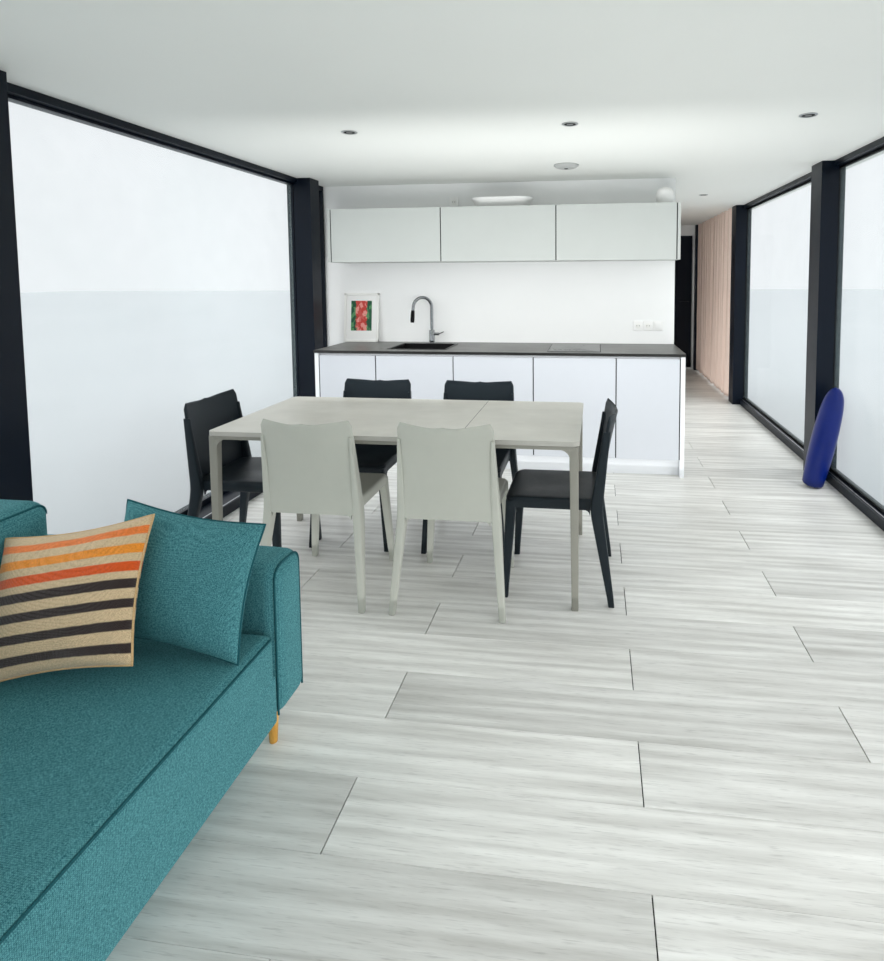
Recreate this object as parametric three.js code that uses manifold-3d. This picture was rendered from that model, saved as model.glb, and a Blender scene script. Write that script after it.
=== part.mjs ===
// A houseboat: a glazed deckhouse on two floats, with its galley, dining set and sofa.
// Millimetres, +Z up, +Y towards the stern, +X to starboard.
// The origin is at the middle of the boat, level with the bottoms of the floats.

import * as THREE from 'three';
import { mergeVertices } from 'three/addons/utils/BufferGeometryUtils.js';
import Module from 'manifold-3d';

const wasm = await Module();
wasm.setup();

// Driving dimensions of the boat
const SEAT = 0.3;                  // gap left between two pieces that touch
const RUN = 5;                     // clearance of a moving panel
const BOAT_L = 12300;              // over the deck frame
const BEAM = 4200;                 // over the deck frame
const BAY = 2500;                  // spacing of the posts
const HOUSE_L = 4 * BAY;
const FLOAT_H = 750;
const DECK_FRAME_H = 150;
const FLOOR_T = 60;
const CEILING = 2230;              // above the cabin floor
const ROOF_T = 250;
const FLOOR_Z = FLOAT_H + DECK_FRAME_H + FLOOR_T;

// Driving dimensions of the glazed walls, as distances from the centre line
const WALL_OUT = 2075;
const RAIL_IN = 1975;              // inner face of the plain sills and heads
const TRACK_IN = 1875;             // inner face of the sills with two tracks
const POST_IN = 1867;
const SLIM_POST_IN = 1893;        // starboard posts between the bays
const POST_OUT = 2005;
const POST_L = 200;
const SILL_H = 63;
const HEAD_H = 35;
const SILL_GROOVE = 33;            // depth of the grooves in which the leaves run
const HEAD_GROOVE = 20;
const MULLION_W = 60;
const GLASS_T = 12;
const PANE_IN = 2020;              // inner face of the panes in the outer plane
const INNER_PANE_IN = 1925;        // inner face of the panes behind a sliding door
const LEAF_IN = 2013;              // inner face of the sliding leaves
const LEAF_T = 50;
const STILE = 60;
const TOP_RAIL = 28;
const END_Y = HOUSE_L / 2 + WALL_OUT - POST_OUT + 5;

// Driving dimensions of the galley
const SEAMS = [-1746, -1296, -696, -96, 504, 954];
const FLAP_SEAMS = [-1746, -846, 54, 954];
const FRONTS_Y = -172;             // front plane of the base fronts
const WALL_FACE_Y = 460;           // face of the wall behind the galley
const GALLEY_WALL_T = 100;
const END_PANEL = 35;
const FRONT_T = 19;
const FRONT_Z = [127, 858];
const BOARD = 18;
const REVEAL = 4;                  // half the joint between two fronts
const WORKTOP_Z = 896;
const WORKTOP_T = 20;
const FLAPS_Y = 87;
const FLAP_Z = [1571, 1992];
const CORRIDOR_X = 989;            // corridor side of the inner walls

// Finishes: colour, roughness, metalness
const FINISH = {
  hull: [0x2f3439, 0.5, 0.3],
  steel: [0x4a4f55, 0.5, 0.6],
  decking: [0x9c8464, 0.8, 0],
  planks: [0xc9c6be, 0.45, 0],
  white: [0xe6e8e6, 0.7, 0],
  roof: [0xd7dad8, 0.7, 0],
  anthracite: [0x1a2230, 0.4, 0.5],
  glass: [0xcfe0e4, 0.05, 0],
  rail: [0xb9bec2, 0.3, 0.9],
  fronts: [0xe8ebf0, 0.4, 0],
  flaps: [0xb9beb9, 0.55, 0],
  worktop: [0x4c4d4e, 0.5, 0],
  sink: [0x151515, 0.4, 0],
  chrome: [0xd0d2d4, 0.12, 1],
  stone: [0xc3bdb2, 0.4, 0],
  legs: [0x82827a, 0.45, 0.4],
  pale: [0xaaafa8, 0.55, 0],
  dark: [0x232d32, 0.55, 0],
  teal: [0x1e6e73, 0.9, 0],
  stripe: [0xc79a62, 0.95, 0],
  curtain: [0xc9a195, 0.9, 0],
  fender: [0x10309c, 0.35, 0],
  frame: [0xf2f2ee, 0.5, 0],
};

const boat = new THREE.Group();
const house = new THREE.Group();   // all that stands on the cabin floor
house.position.z = FLOOR_Z;
boat.add(house);

function addMesh(name, geometry, finish, parent = house) {
  const [color, roughness, metalness] = FINISH[finish];
  const material = new THREE.MeshStandardMaterial({ color, roughness, metalness });
  const mesh = new THREE.Mesh(geometry, material);
  mesh.name = name;
  parent.add(mesh);
  return mesh;
}

// Joining and cutting of closed meshes
function solidOf(geometry) {
  const bare = geometry.clone();
  for (const key of ['normal', 'uv']) bare.deleteAttribute(key);
  const merged = mergeVertices(bare, 1e-3);
  return new wasm.Manifold(new wasm.Mesh({
    numProp: 3,
    vertProperties: new Float32Array(merged.attributes.position.array),
    triVerts: new Uint32Array(merged.index.array),
  }));
}

function geometryOf(solid) {
  const mesh = solid.getMesh();
  const geometry = new THREE.BufferGeometry();
  geometry.setAttribute('position', new THREE.BufferAttribute(mesh.vertProperties, 3));
  geometry.setIndex(new THREE.BufferAttribute(mesh.triVerts, 1));
  return geometry;
}

function join(geometries) {
  return geometryOf(geometries.map(solidOf).reduce((sum, solid) => sum.add(solid)));
}

function cut(geometry, tools) {
  return geometryOf(tools.map(solidOf).reduce((rest, tool) => rest.subtract(tool), solidOf(geometry)));
}

// Basic forms
function block(x, y, z) {
  const geometry = new THREE.BoxGeometry(x[1] - x[0], y[1] - y[0], z[1] - z[0]);
  return geometry.translate((x[0] + x[1]) / 2, (y[0] + y[1]) / 2, (z[0] + z[1]) / 2);
}

// A block whose bottom and top are rectangles of their own: [x centre, y centre, x size, y size]
function tapered(bottom, top, z) {
  const geometry = new THREE.BoxGeometry(1, 1, 1);
  const position = geometry.attributes.position;
  for (let i = 0; i < position.count; i += 1) {
    const [cx, cy, sx, sy] = position.getZ(i) > 0 ? top : bottom;
    const height = position.getZ(i) > 0 ? z[1] : z[0];
    position.setXYZ(i, cx + position.getX(i) * sx, cy + position.getY(i) * sy, height);
  }
  return geometry;
}

function shapeOf(points) {
  return new THREE.Shape(points.map(([u, v]) => new THREE.Vector2(u, v)));
}

// A rectangle with round corners
function roundRectangle(u, v, radius) {
  const shape = new THREE.Shape();
  shape.moveTo(u[0] + radius, v[0]);
  shape.lineTo(u[1] - radius, v[0]);
  shape.absarc(u[1] - radius, v[0] + radius, radius, -Math.PI / 2, 0);
  shape.lineTo(u[1], v[1] - radius);
  shape.absarc(u[1] - radius, v[1] - radius, radius, 0, Math.PI / 2);
  shape.lineTo(u[0] + radius, v[1]);
  shape.absarc(u[0] + radius, v[1] - radius, radius, Math.PI / 2, Math.PI);
  shape.lineTo(u[0], v[0] + radius);
  shape.absarc(u[0] + radius, v[0] + radius, radius, Math.PI, Math.PI * 1.5);
  return shape;
}

// Extrusions of an outline: upwards, or of a (y, z) outline along x
function extrudeUp(shape, z, options = {}) {
  const settings = { depth: z[1] - z[0], bevelEnabled: false, curveSegments: 2, ...options };
  return new THREE.ExtrudeGeometry(shape, settings).translate(0, 0, z[0]);
}

function extrudeAlongX(shape, x, options = {}) {
  const geometry = extrudeUp(shape, [0, x[1] - x[0]], options);
  const turn = new THREE.Matrix4().makeBasis(
    new THREE.Vector3(0, 1, 0), new THREE.Vector3(0, 0, 1), new THREE.Vector3(1, 0, 0));
  return geometry.applyMatrix4(turn).translate(x[0], 0, 0);
}

// An (x, z) outline along y
function extrudeAlongY(shape, y, options = {}) {
  const geometry = extrudeUp(shape, [0, y[1] - y[0]], options);
  const turn = new THREE.Matrix4().makeBasis(
    new THREE.Vector3(1, 0, 0), new THREE.Vector3(0, 0, 1), new THREE.Vector3(0, -1, 0));
  return geometry.applyMatrix4(turn).translate(0, y[1], 0);
}

// A round bar along a path
function rod(curve, radius, steps, sides = 8) {
  const section = new THREE.Shape();
  section.absarc(0, 0, radius, 0, Math.PI * 2);
  return new THREE.ExtrudeGeometry(section,
    { extrudePath: curve, steps, curveSegments: sides / 2, bevelEnabled: false });
}

// A closed skin over two grids of (u, v) in -1..1. place(u, v, side) gives a point;
// side is 1 on the skin that faces along u cross v and -1 on the other.
function gridSkin(place, columns, rows) {
  const at = (i, j, side) => place(2 * i / columns - 1, 2 * j / rows - 1, side);
  const corners = [];
  const quad = (a, b, c, d) => corners.push(...a, ...b, ...c, ...a, ...c, ...d);
  for (let i = 0; i < columns; i += 1) {
    for (let j = 0; j < rows; j += 1) {
      quad(at(i, j, 1), at(i + 1, j, 1), at(i + 1, j + 1, 1), at(i, j + 1, 1));
      quad(at(i, j + 1, -1), at(i + 1, j + 1, -1), at(i + 1, j, -1), at(i, j, -1));
    }
    quad(at(i, 0, -1), at(i + 1, 0, -1), at(i + 1, 0, 1), at(i, 0, 1));
    quad(at(i, rows, 1), at(i + 1, rows, 1), at(i + 1, rows, -1), at(i, rows, -1));
  }
  for (let j = 0; j < rows; j += 1) {
    quad(at(0, j, 1), at(0, j + 1, 1), at(0, j + 1, -1), at(0, j, -1));
    quad(at(columns, j, -1), at(columns, j + 1, -1), at(columns, j + 1, 1), at(columns, j, 1));
  }
  const geometry = new THREE.BufferGeometry();
  geometry.setAttribute('position', new THREE.Float32BufferAttribute(corners, 3));
  return mergeVertices(geometry, 1e-3);
}

// Moves a form so that its lowest point is at z
function restOn(geometry, z) {
  geometry.computeBoundingBox();
  return geometry.translate(0, 0, z - geometry.boundingBox.min.z);
}

// Floats, deck frame and decks
function makeHull() {
  const inner = 700;
  const outer = 1900;
  const flat = 5350;
  const tip = 6100;
  const chamfer = 60;
  const stem = 170;                // upright stretch below the top edge at each end
  const bow = new THREE.Shape();
  bow.moveTo(-flat, chamfer);
  bow.lineTo(flat, chamfer);
  bow.quadraticCurveTo(tip - chamfer, chamfer * 2, tip - chamfer, FLOAT_H - stem);
  bow.lineTo(tip - chamfer, FLOAT_H - chamfer);
  bow.lineTo(-tip + chamfer, FLOAT_H - chamfer);
  bow.lineTo(-tip + chamfer, FLOAT_H - stem);
  bow.quadraticCurveTo(-tip + chamfer, chamfer * 2, -flat, chamfer);
  const bevel = { bevelEnabled: true, bevelSize: chamfer, bevelThickness: chamfer, bevelSegments: 1,
    curveSegments: 6 };
  for (const [name, start] of [['float_port', -outer], ['float_starboard', inner]]) {
    const span = [start + chamfer, start + outer - inner - chamfer];
    addMesh(name, extrudeAlongX(bow, span, bevel), 'hull', boat);
  }

  const z = [FLOAT_H + SEAT, FLOAT_H + DECK_FRAME_H];
  const half = [BEAM / 2, BOAT_L / 2];
  const flange = 90;
  const pitch = 1230;
  const beams = [];
  for (const side of [-1, 1]) {
    const edge = [side * half[0], side * (half[0] - flange)].sort((a, b) => a - b);
    beams.push(block(edge, [-half[1], half[1]], z));
    beams.push(block([side * 700 - flange / 2, side * 700 + flange / 2], [-half[1], half[1]], z));
  }
  for (let k = 0; k <= BOAT_L / pitch; k += 1) {
    const y = Math.min(Math.max(-half[1] + k * pitch - flange / 2, -half[1]), half[1] - flange);
    beams.push(block([-half[0], half[0]], [y, y + flange], z));
  }
  addMesh('deck_frame', join(beams), 'steel', boat);

  const floor = block([-BEAM / 2, BEAM / 2], [-END_Y - 25, END_Y + 25], [-FLOOR_T + SEAT, 0]);
  addMesh('cabin_floor', floor, 'planks');
}

// A planked end deck with its bearers; side is -1 at the bow and 1 at the stern
function makeDeck(name, side) {
  const plank = 124;
  const gap = 8;
  const bearer = 12;
  const boards = 8;
  const top = -FLOOR_T + 40;
  const start = END_Y + 25 + 2;
  const pieces = [];
  for (let k = 0; k < boards; k += 1) {
    const y = [start + k * (plank + gap), start + k * (plank + gap) + plank].map((v) => v * side);
    y.sort((a, b) => a - b);
    pieces.push(block([-BEAM / 2, BEAM / 2], y, [-FLOOR_T + bearer, top]));
  }
  const depth = [start * side, (start + boards * (plank + gap) - gap) * side].sort((a, b) => a - b);
  for (const x of [-1900, 0, 1900]) {
    pieces.push(block([x - 40, x + 40], depth, [-FLOOR_T + SEAT, -FLOOR_T + bearer + 4]));
  }
  addMesh(name, join(pieces), 'decking');
}

// A tubular guard rail round an end deck, open at a gate in the middle
function makeRail(name, side) {
  const deck = -FLOOR_T + 40 + SEAT;
  const edge = [BEAM / 2 - 45, BOAT_L / 2 - 45];
  const start = END_Y + 90;
  const gate = 450;
  const tube = 21;
  const heights = [520, 960];
  const strip = 30;
  const y = (value) => value * side;
  const pieces = [];
  for (const hand of [-1, 1]) {
    const corner = [hand * edge[0], y(edge[1])];
    for (const height of heights) {
      const [from, turn, to] = [[corner[0], y(start)], corner, [hand * gate, corner[1]]]
        .map(([px, py]) => new THREE.Vector3(px, py, deck + height));
      pieces.push(rod(new THREE.LineCurve3(from, turn), tube, 1));
      pieces.push(rod(new THREE.LineCurve3(turn, to), tube, 1));
    }
    const posts = [
      [corner[0], y(start)], [corner[0], y((start + edge[1]) / 2)], corner,
      [hand * (edge[0] + gate) / 2, corner[1]], [hand * gate, corner[1]],
    ];
    for (const [px, py] of posts) {
      const column = new THREE.CylinderGeometry(tube, tube, heights[1] + tube, 8);
      pieces.push(column.rotateX(Math.PI / 2).translate(px, py, deck + (heights[1] + tube) / 2));
    }
    const along = [y(start - strip), y(edge[1] + strip)].sort((a, b) => a - b);
    pieces.push(block([corner[0] - strip, corner[0] + strip], along, [deck, deck + 8]));
  }
  const end = [y(edge[1]) - strip, y(edge[1]) + strip];
  pieces.push(block([-edge[0], edge[0]], end, [deck, deck + 8]));
  addMesh(name, join(pieces), 'rail');
}

// The roof panel with its raised rim
function makeRoof() {
  const half = [2200, 5400];
  const rim = 60;
  const drop = 50;
  const z = [CEILING + SEAT, CEILING + ROOF_T];
  const slab = block([-half[0], half[0]], [-half[1], half[1]], z);
  const well = block([-half[0] + rim, half[0] - rim], [-half[1] + rim, half[1] - rim],
    [z[1] - drop, z[1] + 1]);
  addMesh('roof', cut(slab, [well]), 'roof');
}

// Side frames: sills, heads, posts and mullions. Distances run outwards from the centre line.
function sideBlock(hand, depth, y, z) {
  return block(depth.map((v) => v * hand).sort((a, b) => a - b), y, z);
}

const SILL_Z = [SEAT, SILL_H];
const HEAD_Z = [CEILING - HEAD_H, CEILING];
const PANE_Z = [SILL_H + SEAT, CEILING - HEAD_H - SEAT];
const GROOVES_Z = [[SILL_H - SILL_GROOVE, SILL_H + 1], [HEAD_Z[0] - 1, HEAD_Z[0] + HEAD_GROOVE]];

// The grooves in which a sliding leaf runs, in a sill and a head
function trackGroove(hand, y) {
  const slot = [LEAF_IN - RUN - 1, LEAF_IN + LEAF_T + RUN + 1];
  return [
    sideBlock(hand, slot, y, GROOVES_Z[0]),
    sideBlock(hand, slot, y, GROOVES_Z[1]),
  ];
}

function makeStarboardSide() {
  const pieces = [
    sideBlock(1, [RAIL_IN, WALL_OUT], [-END_Y, END_Y], SILL_Z),
    sideBlock(1, [RAIL_IN, WALL_OUT], [-END_Y, END_Y], HEAD_Z),
  ];
  for (let k = -1; k <= 1; k += 1) {
    const y = k * BAY;
    pieces.push(sideBlock(1, [SLIM_POST_IN, POST_OUT], [y - POST_L / 2, y + POST_L / 2],
      [SEAT, CEILING]));
    pieces.push(sideBlock(1, [POST_OUT - 10, WALL_OUT], [y - MULLION_W / 2, y + MULLION_W / 2],
      [SEAT, CEILING]));
  }
  for (const end of [-1, 1]) {
    const y = [end * END_Y, end * (END_Y - POST_L)].sort((a, b) => a - b);
    pieces.push(sideBlock(1, [POST_IN, WALL_OUT], y, [SEAT, CEILING]));
  }
  addMesh('starboard_frame', join(pieces), 'anthracite');
  for (let k = 0; k < 4; k += 1) {
    const start = k === 0 ? -END_Y + POST_L : (k - 2) * BAY + MULLION_W / 2;
    const end = k === 3 ? END_Y - POST_L : (k - 1) * BAY - MULLION_W / 2;
    const pane = sideBlock(1, [PANE_IN, PANE_IN + GLASS_T], [start + SEAT, end - SEAT], PANE_Z);
    addMesh(`starboard_glass_${k + 1}`, pane, 'glass');
  }
}

const PORT_END_Y = 500;            // where the glazing on the port side ends
const DOOR_JAMB_Y = 75;
const PORT_POST_Y = [5, 155];

function makePortSide() {
  const wide = [TRACK_IN, WALL_OUT];
  const slim = [RAIL_IN, WALL_OUT];
  const pieces = [
    sideBlock(-1, wide, [-END_Y, DOOR_JAMB_Y], SILL_Z),
    sideBlock(-1, wide, [-END_Y, -BAY], HEAD_Z),
    sideBlock(-1, slim, [DOOR_JAMB_Y - 1, PORT_END_Y], SILL_Z),
    sideBlock(-1, slim, [-BAY - 1, PORT_END_Y], HEAD_Z),
    sideBlock(-1, [POST_IN, WALL_OUT], [-END_Y, -END_Y + POST_L], [SEAT, CEILING]),
    sideBlock(-1, [POST_IN, POST_OUT], [-BAY - POST_L / 2, -BAY + POST_L / 2], [SEAT, CEILING]),
    sideBlock(-1, [POST_IN, POST_OUT], PORT_POST_Y, [SEAT, CEILING]),
    sideBlock(-1, [POST_OUT - 10, WALL_OUT], [DOOR_JAMB_Y, PORT_POST_Y[1]], [SEAT, CEILING]),
    sideBlock(-1, slim, [PORT_END_Y - MULLION_W, PORT_END_Y], [SEAT, CEILING]),
  ];
  const groove = [-END_Y + POST_L, DOOR_JAMB_Y];
  addMesh('port_frame', cut(join(pieces), trackGroove(-1, groove)), 'anthracite');
  const fixed = [-END_Y + POST_L + SEAT, -BAY - POST_L / 2 - SEAT];
  addMesh('port_glass_1',
    sideBlock(-1, [INNER_PANE_IN, INNER_PANE_IN + GLASS_T], fixed, PANE_Z), 'glass');
  const aft = [PORT_POST_Y[1] + SEAT, PORT_END_Y - MULLION_W - SEAT];
  addMesh('port_glass_2', sideBlock(-1, [PANE_IN, PANE_IN + GLASS_T], aft, PANE_Z), 'glass');
}

// A sliding leaf in the (u, z) plane: a frame round a hole, with rollers below
function leafParts(u) {
  const z = [GROOVES_Z[0][0] + RUN + 1, GROOVES_Z[1][1] - RUN - 1];
  const hole = [[u[0] + STILE, u[1] - STILE], [z[0] + STILE, z[1] - TOP_RAIL]];
  const rollers = [0.15, 0.85].map((share) => u[0] + (u[1] - u[0]) * share);
  return { z, hole, rollers };
}

function makePortDoor() {
  const y = [-BAY - STILE, DOOR_JAMB_Y - RUN];
  const { z, hole, rollers } = leafParts(y);
  const depth = [LEAF_IN, LEAF_IN + LEAF_T];
  const leaf = cut(sideBlock(-1, depth, y, z),
    [sideBlock(-1, [LEAF_IN - 1, LEAF_IN + LEAF_T + 1], hole[0], hole[1])]);
  const wheels = rollers.map((at) => sideBlock(-1, [LEAF_IN + 18, LEAF_IN + 32],
    [at - 25, at + 25], [GROOVES_Z[0][0] + SEAT, z[0] + 1]));
  addMesh('port_door', join([leaf, ...wheels]), 'anthracite');
  const pane = sideBlock(-1, [LEAF_IN + 19, LEAF_IN + 31], [hole[0][0] + SEAT, hole[0][1] - SEAT],
    [hole[1][0] + SEAT, hole[1][1] - SEAT]);
  addMesh('port_door_glass', pane, 'glass');
}

// The fore wall: the side track's section turned across the boat
function makeFront() {
  const across = (geometry) => geometry.rotateZ(Math.PI / 2);
  const offset = END_Y - WALL_OUT;
  const shift = (depth) => depth.map((v) => v + offset);
  const strip = (depth, x, z) => across(sideBlock(-1, shift(depth), x.map((v) => -v).reverse(), z));
  const half = POST_IN - SEAT;
  const middle = 0;
  const stile = 60;
  const slot = [LEAF_IN - RUN - 1, LEAF_IN + LEAF_T + RUN + 1];
  const run = [-half + 12, half - 12];
  const pieces = [
    strip([TRACK_IN, WALL_OUT], [-half, half], SILL_Z),
    strip([TRACK_IN, WALL_OUT], [-half, half], HEAD_Z),
    strip([TRACK_IN, POST_OUT], [middle - stile / 2, middle + stile / 2], [SEAT, CEILING]),
    strip([TRACK_IN, POST_OUT], [-half, -half + 40], [SEAT, CEILING]),
    strip([TRACK_IN, POST_OUT], [half - 40, half], [SEAT, CEILING]),
  ];
  const grooves = [
    strip(slot, run, GROOVES_Z[0]),
    strip(slot, run, GROOVES_Z[1]),
  ];
  addMesh('front_frame', cut(join(pieces), grooves), 'anthracite');
  const fixed = [-half + 40 + SEAT, middle - stile / 2 - SEAT];
  addMesh('front_glass', strip([INNER_PANE_IN, INNER_PANE_IN + GLASS_T], fixed, PANE_Z), 'glass');

  const x = [middle - stile / 2 - 20, run[1] - RUN];
  const { z, hole, rollers } = leafParts(x);
  const leaf = cut(strip([LEAF_IN, LEAF_IN + LEAF_T], x, z),
    [strip([LEAF_IN - 1, LEAF_IN + LEAF_T + 1], hole[0], hole[1])]);
  const wheels = rollers.map((at) => strip([LEAF_IN + 18, LEAF_IN + 32],
    [at - 25, at + 25], [GROOVES_Z[0][0] + SEAT, z[0] + 1]));
  addMesh('front_door', join([leaf, ...wheels]), 'anthracite');
  const pane = strip([LEAF_IN + 19, LEAF_IN + 31], [hole[0][0] + SEAT, hole[0][1] - SEAT],
    [hole[1][0] + SEAT, hole[1][1] - SEAT]);
  addMesh('front_door_glass', pane, 'glass');
}

// Walls round the closed rooms and the corridor, with the stern door
function makeWalls() {
  const wallY = [PORT_END_Y + SEAT, END_Y];
  const full = [SEAT, CEILING];
  const windows = [[1300, 2300], [3300, 4300]];
  const windowZ = [1150, 1950];
  const inside = -RAIL_IN;
  const panels = block([-WALL_OUT, inside], wallY, full);
  addMesh('port_aft_wall', cut(panels,
    windows.map((y) => block([-WALL_OUT - 1, inside + 1], y, windowZ))), 'anthracite');
  windows.forEach((y, k) => addMesh(`port_window_${k + 1}`,
    block([-WALL_OUT + 20, -WALL_OUT + 50], [y[0] + SEAT, y[1] - SEAT],
      [windowZ[0] + SEAT, windowZ[1] - SEAT]), 'glass'));

  const galleyY = [WALL_FACE_Y, WALL_FACE_Y + GALLEY_WALL_T];
  addMesh('galley_wall', block([inside + SEAT, CORRIDOR_X], galleyY, full), 'white');
  addMesh('corridor_wall', block([CORRIDOR_X - 60, CORRIDOR_X],
    [galleyY[1] + SEAT, END_Y - 100 - SEAT], full), 'white');

  const doorway = { x: [CORRIDOR_X + 20, POST_IN - 20], z: [25, 2080] };
  const aftY = [END_Y - 100, END_Y];
  const wall = block([inside + SEAT, POST_IN - SEAT], aftY, full);
  addMesh('aft_wall', cut(wall, [block(doorway.x, [aftY[0] - 1, aftY[1] + 1], doorway.z)]),
    'anthracite');

  const leafT = 60;
  const barrel = 9;
  const axis = [doorway.x[0], END_Y + barrel + SEAT];
  const leaf = block([doorway.x[0] + RUN, doorway.x[1] - RUN - 4], [END_Y - leafT, END_Y],
    [doorway.z[0] + RUN, doorway.z[1] - RUN]);
  const pieces = [leaf];
  for (const z of [250, 1030, 1800]) {
    const knuckle = new THREE.CylinderGeometry(barrel, barrel, 110, 12).rotateX(Math.PI / 2);
    pieces.push(knuckle.translate(axis[0], axis[1], z + 55));
    pieces.push(block([axis[0], axis[0] + 60], [END_Y - 1, END_Y + 5], [z, z + 110]));
  }
  const lever = [
    block([doorway.x[1] - 75, doorway.x[1] - 55], [END_Y - 1, END_Y + 50], [1040, 1060]),
    block([doorway.x[1] - 190, doorway.x[1] - 55], [END_Y + 34, END_Y + 50], [1040, 1060]),
    block([doorway.x[1] - 75, doorway.x[1] - 55], [END_Y - leafT - 50, END_Y - leafT + 1], [1040, 1060]),
    block([doorway.x[1] - 190, doorway.x[1] - 55], [END_Y - leafT - 50, END_Y - leafT - 34],
      [1040, 1060]),
  ];
  addMesh('aft_door', join([...pieces, ...lever]), 'anthracite');
}

// Galley: base units with their fronts, worktop, sink and tap, and wall units with flaps
const CARCASS_Y = FRONTS_Y + FRONT_T + RUN;
const DRAWER = 3;                  // the base front that is a drawer
const DRAWER_Z = [150, 450];

function makeBaseUnits() {
  const ends = [SEAMS[0], SEAMS[5]];
  const back = WALL_FACE_Y - SEAT;
  const top = WORKTOP_Z - WORKTOP_T - SEAT;
  const body = block(ends, [CARCASS_Y, back], [FRONT_Z[0] - BOARD, top]);
  const inner = (k) => [
    SEAMS[k] + (k === 0 ? BOARD : BOARD / 2),
    SEAMS[k + 1] - (k === 4 ? BOARD : BOARD / 2),
  ];
  const bays = [0, 1, 2, 3, 4].map((k) =>
    block(inner(k), [CARCASS_Y - 1, back - 10], [FRONT_Z[0], top + 1]));
  const pieces = [
    cut(body, bays),
    block(ends, [CARCASS_Y, CARCASS_Y + BOARD], [top - 25, top]),
    block(ends, [FRONTS_Y + 60, FRONTS_Y + 60 + BOARD], [SEAT, FRONT_Z[0] - BOARD + 1]),
    block([ends[0] - END_PANEL, ends[0] - REVEAL], [FRONTS_Y, back], [SEAT, top]),
    block([ends[1] + REVEAL, ends[1] + END_PANEL], [FRONTS_Y, back], [SEAT, top]),
    block([ends[0] - REVEAL - 1, ends[1] + REVEAL + 1], [CARCASS_Y + BOARD, back],
      [FRONT_Z[0] - BOARD, FRONT_Z[0]]),
  ];
  const bay = inner(DRAWER);
  const ledge = [DRAWER_Z[0] - SEAT - 10, DRAWER_Z[0] - SEAT];
  pieces.push(block([bay[0] - 1, bay[0] + 18], [CARCASS_Y, back - 20], ledge));
  pieces.push(block([bay[1] - 18, bay[1] + 1], [CARCASS_Y, back - 20], ledge));
  addMesh('base_carcass', join(pieces), 'white');

  for (let k = 0; k < 5; k += 1) {
    const x = [SEAMS[k] + REVEAL, SEAMS[k + 1] - REVEAL];
    const panel = block(x, [FRONTS_Y, FRONTS_Y + FRONT_T], FRONT_Z);
    const behind = [FRONTS_Y + FRONT_T - 1, CARCASS_Y - SEAT];
    const parts = [panel];
    if (k === DRAWER) {
      const box = [[bay[0] + RUN + 1, bay[1] - RUN - 1], [FRONTS_Y + FRONT_T - 1, back - 60], DRAWER_Z];
      const wall = 12;
      parts.push(cut(block(...box), [block(
        [box[0][0] + wall, box[0][1] - wall], [FRONTS_Y + FRONT_T, box[1][1] - wall],
        [box[2][0] + wall, box[2][1] + 1])]));
    } else {
      for (const z of [220, 720]) parts.push(block([x[0], x[0] + 30], behind, [z, z + 60]));
    }
    addMesh(`base_front_${k + 1}`, join(parts), 'fronts');
  }
}

const SINK = { x: -1005, y: 126, w: 470, d: 400 };

function makeWorktop() {
  const z = [WORKTOP_Z - WORKTOP_T, WORKTOP_Z];
  const x = [SEAMS[0] - END_PANEL, CORRIDOR_X];
  const bowl = {
    x: [SINK.x - SINK.w / 2 + 12, SINK.x + SINK.w / 2 - 12],
    y: [SINK.y - SINK.d / 2 + 12, SINK.y + SINK.d / 2 - 12],
  };
  const slab = block(x, [FRONTS_Y - 18, WALL_FACE_Y - SEAT], z);
  const mouth = block(bowl.x.map((v, i) => v + (i ? 3 : -3)), bowl.y.map((v, i) => v + (i ? 3 : -3)),
    [z[0] - 1, z[1] + 1]);
  addMesh('worktop', cut(slab, [mouth]), 'worktop');

  const depth = 190;
  const wall = 6;
  const flange = block([SINK.x - SINK.w / 2, SINK.x + SINK.w / 2],
    [SINK.y - SINK.d / 2, SINK.y + SINK.d / 2], [z[1] + SEAT, z[1] + SEAT + 3]);
  const shell = block(bowl.x, bowl.y, [z[1] - depth, z[1] + SEAT + 2]);
  const hollow = block([bowl.x[0] + wall, bowl.x[1] - wall], [bowl.y[0] + wall, bowl.y[1] - wall],
    [z[1] - depth + wall, z[1] + 20]);
  addMesh('sink', cut(join([flange, shell]), [hollow]), 'sink');
}

function makeTap() {
  const foot = [-1014, 396];
  const rise = 300;
  const reach = 85;
  const radius = 14;
  const toward = new THREE.Vector3(-0.72, -0.69, 0);
  const base = new THREE.Vector3(foot[0], foot[1], WORKTOP_Z + SEAT);
  const point = (along, up) => base.clone().addScaledVector(toward, along).setZ(base.z + up);
  const path = new THREE.CurvePath();
  path.add(new THREE.LineCurve3(point(0, 20), point(0, rise)));
  path.add(new THREE.CubicBezierCurve3(point(0, rise), point(0, rise + 115),
    point(2 * reach, rise + 115), point(2 * reach, rise)));
  path.add(new THREE.LineCurve3(point(2 * reach, rise), point(2 * reach + 12, rise - 70)));
  const column = new THREE.CylinderGeometry(24, 26, 110, 12).rotateX(Math.PI / 2);
  const lever = new THREE.CylinderGeometry(7, 7, 90, 8).rotateZ(Math.PI / 2);
  const pieces = [
    rod(path, radius, 30),
    column.translate(base.x, base.y, base.z + 55),
    lever.translate(base.x + 60, base.y, base.z + 75),
  ];
  addMesh('tap', join(pieces), 'chrome');
}

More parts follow.
